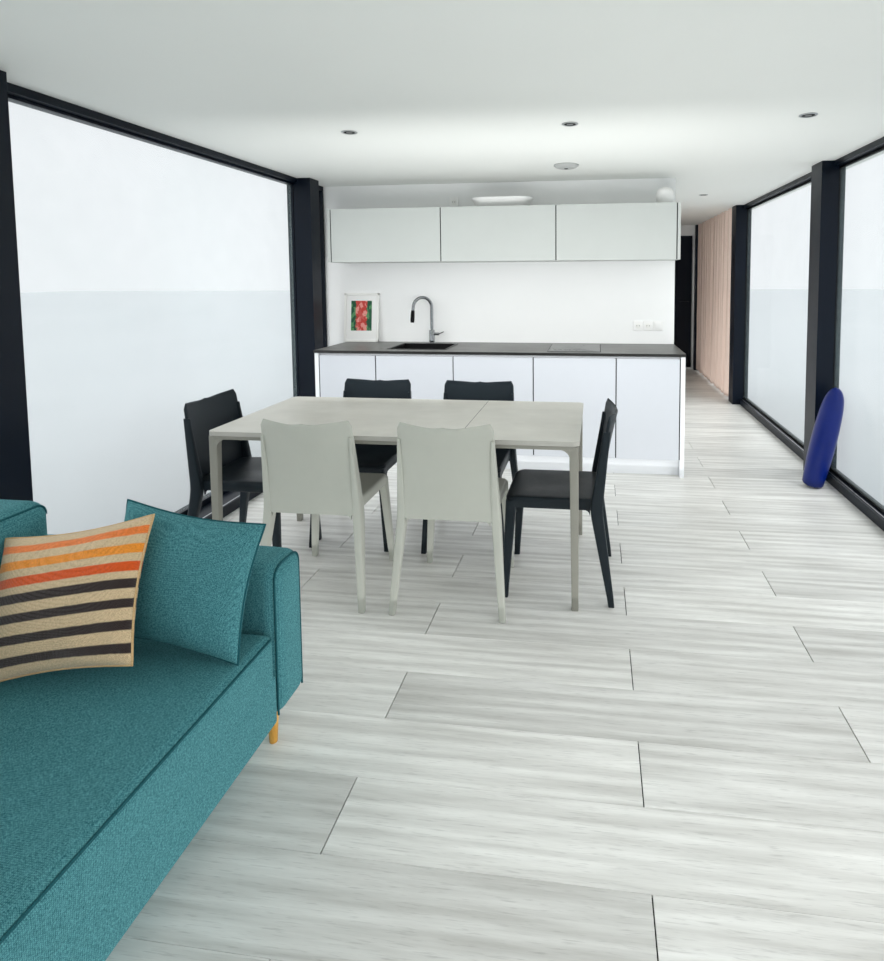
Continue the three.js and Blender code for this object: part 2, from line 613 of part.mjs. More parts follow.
function makeWallUnits() {
  const front = FLAPS_Y + FRONT_T + RUN;
  const back = WALL_FACE_Y - SEAT;
  const ends = [FLAP_SEAMS[0], FLAP_SEAMS[3]];
  const bays = [0, 1, 2].map((k) => block([
    FLAP_SEAMS[k] + (k === 0 ? BOARD : BOARD / 2),
    FLAP_SEAMS[k + 1] - (k === 2 ? BOARD : BOARD / 2),
  ], [front - 1, back - 10], [FLAP_Z[0] + BOARD, FLAP_Z[1] - BOARD]));
  const side = 22;
  const pieces = [
    cut(block([ends[0] - REVEAL - 1, ends[1] + REVEAL + 1], [front, back], FLAP_Z), bays),
    block([ends[0] - REVEAL - side, ends[0] - REVEAL], [FLAPS_Y, back], FLAP_Z),
    block([ends[1] + REVEAL, ends[1] + REVEAL + side], [FLAPS_Y, back], FLAP_Z),
  ];
  addMesh('wall_carcass', join(pieces), 'flaps');
  for (let k = 0; k < 3; k += 1) {
    const x = [FLAP_SEAMS[k] + REVEAL, FLAP_SEAMS[k + 1] - REVEAL];
    const behind = [FLAPS_Y + FRONT_T - 1, front - SEAT];
    const hinges = [x[0] + 90, x[1] - 150].map((at) =>
      block([at, at + 60], behind, [FLAP_Z[1] - 40, FLAP_Z[1] - 2]));
    addMesh(`flap_${k + 1}`, join([block(x, [FLAPS_Y, FLAPS_Y + FRONT_T], FLAP_Z), ...hinges]), 'flaps');
  }
}

// Dining table and chairs
const TABLE = { x: [-1414, 291], y: [-1972, -1167], z: 745, t: 20 };

function makeTable() {
  const top = extrudeUp(roundRectangle(TABLE.x, TABLE.y, 28), [TABLE.z - TABLE.t, TABLE.z]);
  addMesh('table_top', top, 'stone');
  const inset = 4;
  const apron = 30;
  const leg = 48;
  const foot = 34;
  const z = [TABLE.z - TABLE.t - SEAT - apron, TABLE.z - TABLE.t - SEAT];
  const x = [TABLE.x[0] + inset, TABLE.x[1] - inset];
  const y = [TABLE.y[0] + inset, TABLE.y[1] - inset];
  const ring = cut(extrudeUp(roundRectangle(x, y, 24), z),
    [block([x[0] + 22, x[1] - 22], [y[0] + 22, y[1] - 22], [z[0] - 1, z[1] + 1])]);
  const pieces = [ring];
  for (const i of [0, 1]) {
    for (const j of [0, 1]) {
      const inX = i ? -1 : 1;
      const inY = j ? -1 : 1;
      pieces.push(tapered(
        [x[i] + inX * foot / 2, y[j] + inY * foot / 2, foot, foot],
        [x[i] + inX * (leg / 2 + 3), y[j] + inY * (leg / 2 + 3), leg, leg], [SEAT, z[1] - 4]));
    }
  }
  addMesh('table_frame', join(pieces), 'legs');
}

// A moulded chair that faces +Y, standing on z = 0 about the middle of its feet
const CHAIR = { rearHalf: 254, frontHalf: 224, depth: 505, seat: 460, height: 838 };

function chairGeometry() {
  const rear = -CHAIR.depth / 2;
  const front = CHAIR.depth / 2;
  const seatHalf = 198;
  const skirt = 50;
  const rim = 14;
  const seatY = [rear + 62, front - 14];
  const seatZ = [CHAIR.seat - skirt, CHAIR.seat];
  const slab = extrudeUp(roundRectangle([-seatHalf, seatHalf], seatY, 40), seatZ);
  const under = block([-seatHalf + rim * 2, seatHalf - rim * 2], [seatY[0] + rim * 2, seatY[1] - rim * 2],
    [seatZ[0] - 1, seatZ[1] - rim]);
  const shell = cut(slab, [under]);
  // The back leans from the seat's rear edge to above the rear feet, and is hollow towards the sitter
  const back = { foot: 412, half: 194, flare: 8, thickness: 14, dip: 18, hollow: 18, start: 62, lean: 50 };
  const panel = gridSkin((u, v, side) => {
    const share = (v + 1) / 2;
    const bow = (1 - u * u) * share;
    return [
      u * (back.half + back.flare * share),
      rear + back.start - back.lean * share * share - back.hollow * bow - side * back.thickness / 2,
      back.foot + (CHAIR.height - back.foot) * share - back.dip * bow,
    ];
  }, 6, 5);
  const pieces = [shell, panel];
  // Each rear leg is thickest at the seat and runs out along the edge of the back
  const foot = 28;
  const knee = 420;
  const shoulder = 635;
  for (const hand of [-1, 1]) {
    pieces.push(tapered([hand * (CHAIR.frontHalf - foot / 2), front - foot / 2, foot, foot],
      [hand * (seatHalf - 20), front - 42, 38, 50], [0, CHAIR.seat - rim / 2]));
    const middle = [hand * (back.half + 4), rear + back.start + 21, 38, 57];
    pieces.push(tapered([hand * (CHAIR.rearHalf - foot / 2), rear + foot / 2, foot, foot], middle,
      [0, knee]));
    pieces.push(tapered(middle, [hand * (back.half + 4), rear + back.start - 12, 14, 20],
      [knee, shoulder]));
  }
  return join(pieces);
}

// Chairs as [x, y, quarter turns from facing +Y, finish]
const CHAIRS = [
  [-883, -1842, 0, 'pale'],
  [-268, -1842, 0, 'pale'],
  [-945, -1276, 2, 'dark'],
  [-325, -1276, 2, 'dark'],
  [191, -1672, 1, 'dark'],
  [-1400, -1630, 3, 'dark'],
];

function makeChairs() {
  CHAIRS.forEach(([x, y, turns, finish], k) => {
    const geometry = chairGeometry().rotateZ(turns * Math.PI / 2).translate(x, y, SEAT);
    addMesh(`chair_${k + 1}`, geometry, finish);
  });
}

// Sofa along the port side, facing +X, with two loose pillows
const SOFA = { x: [-1500, -568], y: [-4840, -2709], arm: 166, armTop: 598, seatTop: 413, backTop: 790 };

function makeSofa() {
  const deck = 250;
  const under = 130;
  const [x0, x1] = SOFA.x;
  const [y0, y1] = SOFA.y;
  const backX = x0 + 225;
  const pieces = [block([x0, x1], [y0, y1], [under, deck])];
  for (const y of [[y0, y0 + SOFA.arm], [y1 - SOFA.arm, y1]]) {
    const outline = roundRectangle(y, [under, SOFA.armTop], 55);
    pieces.push(extrudeAlongX(outline, [x0, x1]));
  }
  for (const x of [x0 + 70, x1 - 70]) {
    for (const y of [y0 + 90, y1 - 90]) {
      pieces.push(tapered([x, y, 24, 24], [x, y, 42, 42], [SEAT, under + 2]));
    }
  }
  addMesh('sofa_base', join(pieces), 'teal');
  const span = [y0 + SOFA.arm + 2, y1 - SOFA.arm - 2];
  const seat = roundRectangle([backX + 2, x1], [deck + SEAT, SOFA.seatTop], 40);
  addMesh('sofa_seat', extrudeAlongY(seat, span), 'teal');
  const back = roundRectangle([x0, backX], [deck + SEAT, SOFA.backTop], 60);
  addMesh('sofa_back', extrudeAlongY(back, span), 'teal');
}

// A pillow standing in the (x, z) plane, thin along y
function pillowGeometry(width, height, thickness) {
  const edge = 5;
  return gridSkin((u, v, side) => {
    const puff = Math.sqrt((1 - u ** 4) * (1 - v ** 4));
    const pinch = 1 - 0.09 * (1 - u * u * v * v);
    const y = -side * (edge + (thickness / 2 - edge) * puff);
    return [u * width / 2 * pinch, y, v * height / 2 * pinch];
  }, 6, 6);
}

// Sets a pillow down on the seat: tilted in its own plane, leaned back and turned, and lower by drop
// where its lowest corner hangs past the seat's round edge
function setDown(pillow, [tilt, lean, turn], [x, y], drop = 0) {
  const posed = pillow.rotateY(tilt).rotateX(lean).rotateZ(turn).translate(x, y, 0);
  return restOn(posed, SOFA.seatTop + 0.5 - drop);
}

function makePillows() {
  const teal = setDown(pillowGeometry(440, 362, 110), [0.1, -0.25, -0.03], [-788, -2979], 3.8);
  addMesh('pillow_teal', teal, 'teal');
  const striped = setDown(pillowGeometry(434, 360, 100), [-0.2, -0.52, -0.02], [-1023, -3104]);
  addMesh('pillow_striped', striped, 'stripe');
}

// Curtain at the aft end of the starboard glazing, a fender and a framed picture
function makeLooseThings() {
  const folds = 17;
  const swing = 26;
  const thickness = 9;
  const y = [BAY + POST_L / 2 + 40, END_Y - POST_L - 25];
  const steps = folds * 4;
  const line = (offset) => Array.from({ length: steps + 1 }, (_, k) => {
    const share = k / steps;
    const wave = Math.sin(share * folds * Math.PI * 2);
    return [POST_IN + 42 + swing * wave + offset, y[0] + (y[1] - y[0]) * share];
  });
  const outline = [...line(-thickness / 2), ...line(thickness / 2).reverse()];
  addMesh('curtain', extrudeUp(shapeOf(outline), [25, CEILING - SEAT]), 'curtain');

  const profile = [[0, 0], [58, 0], [66, 14], [76, 170], [80, 340], [73, 510], [56, 630], [32, 680],
    [0, 690]];
  const fender = new THREE.LatheGeometry(profile.map(([r, h]) => new THREE.Vector2(r, h)), 16);
  fender.rotateX(Math.PI / 2).rotateY(0.21).translate(0, -255, 0);
  restOn(fender, SEAT);
  fender.computeBoundingBox();
  fender.translate(PANE_IN - SEAT - fender.boundingBox.max.x, 0, 0);
  addMesh('fender', fender, 'fender');

  const picture = block([-1800, -1490], [-9, 9], [0, 420]).rotateX(-0.1);
  restOn(picture, WORKTOP_Z + SEAT);
  picture.computeBoundingBox();
  picture.translate(0, WALL_FACE_Y - SEAT - picture.boundingBox.max.y, 0);
  addMesh('picture', picture, 'frame');
}

makeHull();
makeDeck('fore_deck', -1);
makeDeck('aft_deck', 1);
makeRail('fore_rail', -1);
makeRail('aft_rail', 1);
makeRoof();
makeStarboardSide();
makePortSide();
makePortDoor();
makeFront();
makeWalls();
makeBaseUnits();
makeWorktop();
makeTap();
makeWallUnits();
makeTable();
makeChairs();
makeSofa();
makePillows();
makeLooseThings();

boat.updateMatrixWorld(true);

export default boat;
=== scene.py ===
"""Visual model of a compact houseboat: twin floats, glazed deckhouse, galley, dining table and sofa."""
import logging
import math
from dataclasses import dataclass, field
from enum import Enum
from typing import Callable, Sequence

import bmesh
import bpy
import numpy as np
from mathutils import Matrix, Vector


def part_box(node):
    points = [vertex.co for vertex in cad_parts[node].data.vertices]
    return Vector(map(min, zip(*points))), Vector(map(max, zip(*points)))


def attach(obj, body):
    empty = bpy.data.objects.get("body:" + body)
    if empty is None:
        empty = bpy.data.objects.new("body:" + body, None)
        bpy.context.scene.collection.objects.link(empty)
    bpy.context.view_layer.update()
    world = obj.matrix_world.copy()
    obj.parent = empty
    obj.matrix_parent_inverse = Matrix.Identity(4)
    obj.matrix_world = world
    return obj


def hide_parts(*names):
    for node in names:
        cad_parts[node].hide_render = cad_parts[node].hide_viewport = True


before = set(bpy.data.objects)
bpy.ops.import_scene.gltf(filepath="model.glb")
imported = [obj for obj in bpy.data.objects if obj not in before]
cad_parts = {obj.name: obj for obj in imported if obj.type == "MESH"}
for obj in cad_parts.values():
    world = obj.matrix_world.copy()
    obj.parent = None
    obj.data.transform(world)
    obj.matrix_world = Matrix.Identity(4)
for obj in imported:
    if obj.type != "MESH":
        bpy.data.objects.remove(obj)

LOG = logging.getLogger("houseboat")
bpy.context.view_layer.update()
FLOOR_Z = 0.960
CEILING_Z = 3.190
WATER_Z = 0.40
SEED = 7

Array = np.ndarray
Colour = tuple[float, float, float]


def grey(value: float, warm: float = 0.0) -> Colour:
    """A linear grey, with its red raised and its blue lowered by warm."""
    return (value * (1 + warm), value, value * (1 - warm))


def screen(red: int, green: int, blue: int) -> Colour:
    """A linear colour from 0-255 display values.

    Args:
        red, green, blue: display values.

    Returns:
        The colour after the display curve is undone.
    """
    shown = np.array([red, green, blue]) / 255.0
    linear = np.where(shown <= 0.04045, shown / 12.92, ((shown + 0.055) / 1.055) ** 2.4)
    return tuple(float(v) for v in linear)


# Surfaces


@dataclass
class Skin:
    """Closed shells gathered for one piece; dress is the place of a shell's finish in the piece's list."""

    points: list[Array] = field(default_factory=list)
    faces: list[list[int]] = field(default_factory=list)
    dress: list[Array] = field(default_factory=list)
    shade: list[Array] = field(default_factory=list)
    cloth: list[Array] = field(default_factory=list)
    count: int = 0

    def add(self, shell: "Shell", dress: int = 0, shade: float | Array = 0.5) -> "Skin":
        """Adds one closed shell, turned outwards.

        Args:
            shell: its points and faces.
            dress: which finish of the piece it wears.
            shade: a number from 0 to 1 that sets its tone apart, one for all or one per point.

        Returns:
            This skin, so that calls can follow each other.
        """
        points, groups = shell.points, shell.outward()
        for group in groups:
            self.faces.extend((group + self.count).tolist())
            self.dress.append(np.full(len(group), dress, np.int32))
        self.points.append(points)
        self.shade.append(np.broadcast_to(np.asarray(shade, float), (len(points),)))
        self.cloth.append(points if shell.cloth is None else shell.cloth)
        self.count += len(points)
        return self


@dataclass
class Shell:
    """Points and groups of faces with the same number of corners; cloth holds flat places for a pattern."""

    points: Array
    groups: list[Array]
    cloth: Array | None = None

    def outward(self) -> list[Array]:
        """The faces, turned round if the volume they enclose comes out negative.

        Returns:
            Groups of faces that point outwards.
        """
        volume = 0.0
        middle = self.points.mean(0)
        for group in self.groups:
            corners = self.points[group] - middle
            for k in range(1, group.shape[1] - 1):
                volume += (corners[:, 0] * np.cross(corners[:, k], corners[:, k + 1])).sum()
        return self.groups if volume >= 0 else [group[:, ::-1] for group in self.groups]

    def moved(self, turn: float = 0.0, place: Sequence[float] = (0, 0, 0)) -> "Shell":
        """The shell turned about the upright axis by turn, in radians, then moved to place."""
        c, s = math.cos(turn), math.sin(turn)
        spin = np.array([[c, s, 0], [-s, c, 0], [0, 0, 1]])
        return Shell(self.points @ spin + np.asarray(place, float), self.groups, self.cloth)

    def shaped(self, rule: Callable[[Array], Array]) -> "Shell":
        """The shell with its points sent through rule, an array of points to an array of points."""
        return Shell(rule(self.points), self.groups, self.cloth)


def grid_faces(rows: int, columns: int, round_rows: bool = False, round_columns: bool = False) -> Array:
    """Quads of a grid of points stored row by row.

    Args:
        rows, columns: numbers of points.
        round_rows, round_columns: joins the last row or column to the first.

    Returns:
        Corner numbers, four for each face.
    """
    r = np.arange(rows if round_rows else rows - 1)
    c = np.arange(columns if round_columns else columns - 1)
    r, c = (a.ravel() for a in np.meshgrid(r, c, indexing="ij"))
    down, right = (r + 1) % rows, (c + 1) % columns
    return np.stack([r * columns + c, r * columns + right, down * columns + right, down * columns + c], 1)


def welded(points: Array, faces: Array, cloth: Array | None = None) -> Shell:
    """Joins points that coincide to a micrometre, and drops faces that lose a corner.

    Args:
        points, faces: of the surface.
        cloth: flat places of the points, if they have some.

    Returns:
        The shell of the points that stay, with their flat places.
    """
    _, first, back = np.unique(np.round(points, 6), axis=0, return_index=True, return_inverse=True)
    faces = back.reshape(-1)[faces]
    whole = (np.diff(np.sort(faces, 1), axis=1) > 0).all(1)
    return Shell(points[first], [faces[whole]], None if cloth is None else cloth[first])


def soft_box(low: Sequence[float], high: Sequence[float], radius: float, steps: int = 2,
             cells: int | Sequence[int] = 1) -> Shell:
    """A box with round edges.

    On each of six face grids the coordinate runs over the flat part in cells and round both edges by the
    tangent of equal angles. A point is its nearest place on the inner box plus radius times its direction.

    Args:
        low, high: the box's corners.
        radius: of its edges.
        steps: faces round a quarter of an edge, halved.
        cells: faces along the flat part, one number or one for each axis.

    Returns:
        The closed shell.
    """
    low, high = np.asarray(low, float), np.asarray(high, float)
    half = (high - low) / 2
    radius = min(radius, 0.49 * float(half.min()) * 2)
    inner = half - radius
    bend = radius * np.tan(np.linspace(np.pi / 4, 0, steps + 1))
    cells = np.broadcast_to(cells, 3)
    lines = [np.concatenate([-i - bend[:-1], np.linspace(-i, i, n + 1), i + bend[::-1][1:]])
             for i, n in zip(inner, cells)]
    points, faces, count = [], [], 0
    for axis in range(3):
        a, b = (axis + 1) % 3, (axis + 2) % 3
        u, v = np.meshgrid(lines[a], lines[b], indexing="ij")
        for hand in (-1, 1):
            p = np.empty((u.size, 3))
            p[:, a], p[:, b], p[:, axis] = u.ravel(), v.ravel(), hand * half[axis]
            f = grid_faces(*u.shape)
            points.append(p)
            faces.append((f if hand > 0 else f[:, ::-1]) + count)
            count += len(p)
    points = np.concatenate(points)
    near = np.clip(points, -inner, inner)
    out = points - near
    points = near + radius * out / np.linalg.norm(out, axis=1, keepdims=True)
    return welded(points + (low + high) / 2, np.concatenate(faces))


def boards(low: Array, high: Array, chamfer: float, axis: int = 2, hand: int = 1) -> Shell:
    """Many boards at once, each a box whose show face has a small chamfer on four sides.

    Args:
        low, high: (n, 3) corners of the boards.
        chamfer: width of the chamfer.
        axis, hand: the direction that the show faces look in.

    Returns:
        One shell of n closed boards, board by board with 12 points each.
    """
    a, b = (axis + 1) % 3, (axis + 2) % 3
    side = np.array([[0, 0], [1, 0], [1, 1], [0, 1]])
    back, show = (low, high) if hand > 0 else (high, low)
    points = np.empty((len(low), 3, 4, 3))
    for ring, (depth, inset) in enumerate(((None, 0.0), (chamfer, 0.0), (0.0, chamfer))):
        for place, pick in ((a, side[:, 0]), (b, side[:, 1])):
            edges = np.stack([low[:, place] + inset, high[:, place] - inset], 1)
            points[:, ring, :, place] = edges[:, pick]
        level = back[:, axis] if depth is None else show[:, axis] - hand * depth
        points[:, ring, :, axis] = level[:, None]
    walls = grid_faces(3, 4, round_columns=True)
    one = np.concatenate([walls, [[3, 2, 1, 0]], [[8, 9, 10, 11]]])
    faces = (np.arange(len(low))[:, None, None] * 12 + one).reshape(-1, 4)
    return Shell(points.reshape(-1, 3), [faces])


def round_outline(half_x: float, half_y: float, radius: float, inset: Array, steps: int = 6) -> Array:
    """Rounded rectangles inside each other.

    A corner's centre is the half side less the larger of radius and inset, and its arc has radius less
    inset, but never less than nothing.

    Args:
        half_x, half_y: half sides of the outermost one.
        radius: of its corners.
        inset: (n,) distances from it.
        steps: faces round a corner.

    Returns:
        (n, 4 * (steps + 1), 2) points.
    """
    turn = np.linspace(0, np.pi / 2, steps + 1)
    angle = (np.arange(4)[:, None] * np.pi / 2 + turn).ravel()
    sign_x = np.repeat([1, -1, -1, 1], steps + 1)
    sign_y = np.repeat([1, 1, -1, -1], steps + 1)
    inset = np.asarray(inset, float)[:, None]
    deep = np.maximum(radius, inset)
    bend = np.maximum(radius - inset, 0)
    x = sign_x * np.maximum(half_x - deep, 0) + bend * np.cos(angle)
    y = sign_y * np.maximum(half_y - deep, 0) + bend * np.sin(angle)
    return np.stack([x, y], -1)


def stacked(rings: Array) -> Shell:
    """A shell of (rows, columns, 3) points, ring on ring, its first and last ring filled."""
    rows, columns = rings.shape[:2]
    around = np.arange(columns)
    ends = np.stack([around[::-1], (rows - 1) * columns + around])
    return Shell(rings.reshape(-1, 3), [grid_faces(rows, columns, round_columns=True), ends])


def carried_round(half: tuple[float, float], radius: float, profile: Sequence[tuple[float, float]],
                  centre: Sequence[float] = (0, 0, 0), steps: int = 6) -> Shell:
    """A profile of (inset, height) carried round a rounded rectangle, its first and last ring filled."""
    profile = np.asarray(profile, float)
    flat = round_outline(*half, radius, profile[:, 0], steps)
    heights = np.broadcast_to(profile[:, None, 1:], (*flat.shape[:2], 1))
    return stacked(np.concatenate([flat, heights], -1) + np.asarray(centre, float))


def turned(radius: float, profile: Sequence[tuple[float, float]], centre: Sequence[float] = (0, 0, 0),
           steps: int = 6) -> Shell:
    """A profile of (inset, height) turned about the upright axis through centre."""
    return carried_round((radius, radius), radius - 0.0001, profile, centre, steps)


def carry_along(path: Array, section: Array, up: Sequence[float], scale: Array | None = None,
                closed: bool = False) -> Shell:
    """A section carried along a path.

    At each point of the path the section's first coordinate lies along tangent x up, and its second along
    that x tangent, both times the scale there.

    Args:
        path: (n, 3) points.
        section: (m, 2) outline.
        up: a direction that the path never follows.
        scale: (n, 2) factors, one by default.
        closed: joins the path's end to its start.

    Returns:
        The shell, with flat ends unless it is closed.
    """
    path = np.asarray(path, float)
    n = len(path)
    if closed:
        tangent = np.roll(path, -1, 0) - np.roll(path, 1, 0)
    else:
        tangent = np.gradient(path, axis=0)
    tangent /= np.linalg.norm(tangent, axis=1, keepdims=True)
    side = np.cross(tangent, np.broadcast_to(np.asarray(up, float), tangent.shape))
    side /= np.linalg.norm(side, axis=1, keepdims=True)
    lift = np.cross(side, tangent)
    scale = np.ones((n, 2)) if scale is None else np.asarray(scale, float)
    offset = (scale[:, None, :1] * section[None, :, :1] * side[:, None]
              + scale[:, None, 1:] * section[None, :, 1:] * lift[:, None])
    rings = path[:, None] + offset
    if closed:
        faces = grid_faces(n, len(section), round_rows=True, round_columns=True)
        return Shell(rings.reshape(-1, 3), [faces])
    return stacked(rings)


def circle(radius: float, steps: int = 12) -> Array:
    """Points of a circle."""
    angle = np.arange(steps) * 2 * np.pi / steps
    return radius * np.stack([np.cos(angle), np.sin(angle)], 1)


def round_section(half_x: float, half_y: float, radius: float, steps: int = 3) -> Array:
    """The outline of a bar with round corners."""
    return round_outline(half_x, half_y, radius, np.zeros(1), steps)[0]


def bent_path(corners: Sequence[Sequence[float]], radius: float, steps: int = 6) -> Array:
    """A path through corners, each turned into a bend.

    A bend starts and ends at radius from the corner and follows the parabola between those points,
    (1-t)^2 a + 2t(1-t) b + t^2 c.

    Args:
        corners: (n, 3) points of the straight path.
        radius: length of the bend's legs.
        steps: faces along a bend.

    Returns:
        The path's points.
    """
    corners = np.asarray(corners, float)
    before, here, after = corners[:-2], corners[1:-1], corners[2:]
    leg_in, leg_out = here - before, after - here
    start = here - radius * leg_in / np.linalg.norm(leg_in, axis=1, keepdims=True)
    end = here + radius * leg_out / np.linalg.norm(leg_out, axis=1, keepdims=True)
    t = np.linspace(0, 1, steps + 1)[None, :, None]
    bends = (1 - t) ** 2 * start[:, None] + 2 * t * (1 - t) * here[:, None] + t ** 2 * end[:, None]
    return np.concatenate([corners[:1], bends.reshape(-1, 3), corners[-1:]])


def thick_sheet(surface: Callable[[Array, Array], Array], counts: tuple[int, int], thickness: float,
                rim: int = 3) -> Shell:
    """A sheet with round rims about a middle surface.

    The middle surface is a function of u and v from -1 to 1. Its normal comes from the differences of
    the grid. The sheet is the middle plus or minus half the thickness along the normal, and at its rims
    the two sides meet: the thickness falls as the cosine of an angle while the sheet grows by its sine.

    Args:
        surface: gives (..., 3) points for u and v.
        counts: faces along u and v.
        thickness: of the sheet.
        rim: faces round the rim, each side.

    Returns:
        The closed shell, with its flat places in cloth.
    """
    angle = np.linspace(np.pi / 2, 0, rim + 1)

    def run(count: int) -> tuple[Array, Array, Array]:
        flat = np.linspace(-1, 1, count + 1)
        place = np.concatenate([np.full(rim, -1.0), flat, np.full(rim, 1.0)])
        grow = np.concatenate([-np.sin(angle[:-1]), np.zeros(count + 1), np.sin(angle[::-1][1:])])
        thin = np.concatenate([np.cos(angle[:-1]), np.ones(count + 1), np.cos(angle[::-1][1:])])
        return place, grow, thin

    (pu, gu, tu), (pv, gv, tv) = run(counts[0]), run(counts[1])
    u, v = np.meshgrid(pu, pv, indexing="ij")
    middle = surface(u, v)
    small = 1e-4
    along_u = surface(u + small, v) - surface(u - small, v)
    along_v = surface(u, v + small) - surface(u, v - small)
    along_u /= np.linalg.norm(along_u, axis=-1, keepdims=True)
    along_v /= np.linalg.norm(along_v, axis=-1, keepdims=True)
    normal = np.cross(along_u, along_v)
    normal /= np.linalg.norm(normal, axis=-1, keepdims=True)
    half = thickness / 2
    spread = middle + half * (gu[:, None, None] * along_u + gv[None, :, None] * along_v)
    lift = half * (tu[:, None] * tv[None, :])[..., None] * normal
    shape = u.shape
    upper, lower = (spread + lift).reshape(-1, 3), (spread - lift).reshape(-1, 3)
    faces = grid_faces(*shape)
    points = np.concatenate([upper, lower])
    faces = np.concatenate([faces, faces[:, ::-1] + len(upper)])
    flat = np.stack([u, v, np.zeros(shape)], -1).reshape(-1, 3)
    return welded(points, faces, np.concatenate([flat, flat]))


def corner_web(corner: Sequence[float], along: Sequence[float], across: Sequence[float], radius: float,
               thick: tuple[float, float]) -> Shell:
    """Fills the inner corner between a leg and the bar above it with a concave quarter bend.

    The outline runs up the leg and along the bar, sunk 2 mm into both, and comes back on an arc whose
    centre is one radius along the bar and one below it. It is carried through the thickness.

    Args:
        corner: where the leg's inner face meets the bar's underside.
        along, across: unit vectors along the bar, away from the leg, and through the bar.
        radius: of the bend.
        thick: start and end of the web along across.
    """
    corner, along, across, up = (np.asarray(v, float) for v in (corner, along, across, (0, 0, 1)))
    count = 9
    turn, run = np.linspace(0, np.pi / 2, count)[:, None], np.linspace(0, 2, count)[:, None]
    arc = radius * ((1 - np.cos(turn)) * along + (np.sin(turn) - 1) * up)
    edge = radius * (np.clip(run - 1, 0, 1) * along + (np.clip(run, 0, 1) - 1) * up) + 0.002 * (up - along)
    near, far = thick if np.dot(np.cross(along, up), across) > 0 else thick[::-1]
    rows = [edge + near * across, arc + near * across, arc + far * across, edge + far * across]
    ends = np.arange(4) * count
    faces = np.concatenate([grid_faces(4, count, round_rows=True), [ends, ends[::-1] + count - 1]])
    return welded(corner + np.concatenate(rows), faces)


# Finishes


class Sketch:
    """Short ways to put nodes into a tree."""

    def __init__(self, tree: bpy.types.NodeTree) -> None:
        """Takes the tree that the nodes go into."""
        self.tree = tree

    def feed(self, node: bpy.types.Node, inputs: dict) -> None:
        """Links a node's inputs to other nodes' sockets, or sets them to plain values."""
        for key, value in inputs.items():
            if isinstance(value, bpy.types.NodeSocket):
                self.tree.links.new(value, node.inputs[key])
            else:
                node.inputs[key].default_value = value

    def put(self, kind: str, inputs: dict | None = None, **settings: object) -> bpy.types.Node:
        """Adds a node.

        Args:
            kind: its type without the prefix ShaderNode.
            inputs: socket name or number to a value or to another node's socket.
            settings: its properties.

        Returns:
            The node.
        """
        node = self.tree.nodes.new("ShaderNode" + kind)
        for key, value in settings.items():
            setattr(node, key, value)
        self.feed(node, inputs or {})
        return node

    def group(self, tree: bpy.types.NodeTree, **inputs: object) -> bpy.types.Node:
        """Places a node group with its own values."""
        return self.put("Group", inputs, node_tree=tree)

    def sums(self, operation: str, *values: object) -> bpy.types.NodeSocket:
        """A Math node's result for one to three values."""
        return self.put("Math", dict(enumerate(values)), operation=operation).outputs[0]

    def vectors(self, operation: str, *values: object) -> bpy.types.NodeSocket:
        """A Vector Math node's vector for its values."""
        return self.put("VectorMath", dict(enumerate(values)), operation=operation).outputs[0]

    def stretched(self, vector: bpy.types.NodeSocket, scale: Sequence[float],
                  turn: Sequence[float] = (0, 0, 0)) -> bpy.types.NodeSocket:
        """The vector after a Mapping node with this scale and turn."""
        return self.put("Mapping", {"Vector": vector, "Scale": scale, "Rotation": turn}).outputs[0]

    def noise(self, vector: bpy.types.NodeSocket, scale: object, detail: float = 3.0,
              rough: float = 0.5) -> bpy.types.NodeSocket:
        """The value of a Noise texture."""
        return self.put("TexNoise", {"Vector": vector, "Scale": scale, "Detail": detail,
                                     "Roughness": rough}).outputs[0]

    def spread(self, value: bpy.types.NodeSocket, low: float, high: float, to_low: float = 0.0,
               to_high: float = 1.0) -> bpy.types.NodeSocket:
        """The value with low to high sent to to_low to to_high, clamped."""
        return self.put("MapRange", {0: value, 1: low, 2: high, 3: to_low, 4: to_high}).outputs[0]

    def blend(self, share: object, first: object, second: object,
              kind: str = "MIX") -> bpy.types.NodeSocket:
        """Two colours mixed by share."""
        values = [v if isinstance(v, bpy.types.NodeSocket) else (*v, 1.0) for v in (first, second)]
        node = self.put("Mix", {0: share, 6: values[0], 7: values[1]}, data_type="RGBA", blend_type=kind)
        return node.outputs[2]


def make_group(name: str, inputs: Sequence[tuple[str, str, object]], outputs: Sequence[tuple[str, str]],
               build: Callable[[Sketch, dict], dict]) -> bpy.types.NodeTree:
    """Builds a shader node group once.

    Args:
        name: of the group.
        inputs: (name, Float or Vector or Color, default value) of each.
        outputs: (name, kind) of each.
        build: takes a sketch and the inputs by name, and gives the outputs by name.

    Returns:
        The node group.
    """
    tree = bpy.data.node_groups.new(name, "ShaderNodeTree")
    for label, kind, value in inputs:
        socket = tree.interface.new_socket(label, in_out="INPUT", socket_type="NodeSocket" + kind)
        socket.default_value = value
    for label, kind in outputs:
        tree.interface.new_socket(label, in_out="OUTPUT", socket_type="NodeSocket" + kind)
    entry = tree.nodes.new("NodeGroupInput")
    leave = tree.nodes.new("NodeGroupOutput")
    made = build(Sketch(tree), {label: entry.outputs[label] for label, _, _ in inputs})
    for label, socket in made.items():
        tree.links.new(socket, leave.inputs[label])
    return tree


def build_tone(sketch: Sketch, given: dict) -> dict:
    """Slow blotches with a little finer mottling: two noises, the second five times finer."""
    broad = sketch.noise(given["Vector"], given["Scale"], 2.0, 0.5)
    fine = sketch.noise(given["Vector"], sketch.sums("MULTIPLY", given["Scale"], 5.3), 4.0, 0.6)
    both = sketch.sums("ADD", sketch.sums("MULTIPLY", broad, 0.65), sketch.sums("MULTIPLY", fine, 0.35))
    return {"Mask": sketch.spread(both, 0.33, 0.67)}


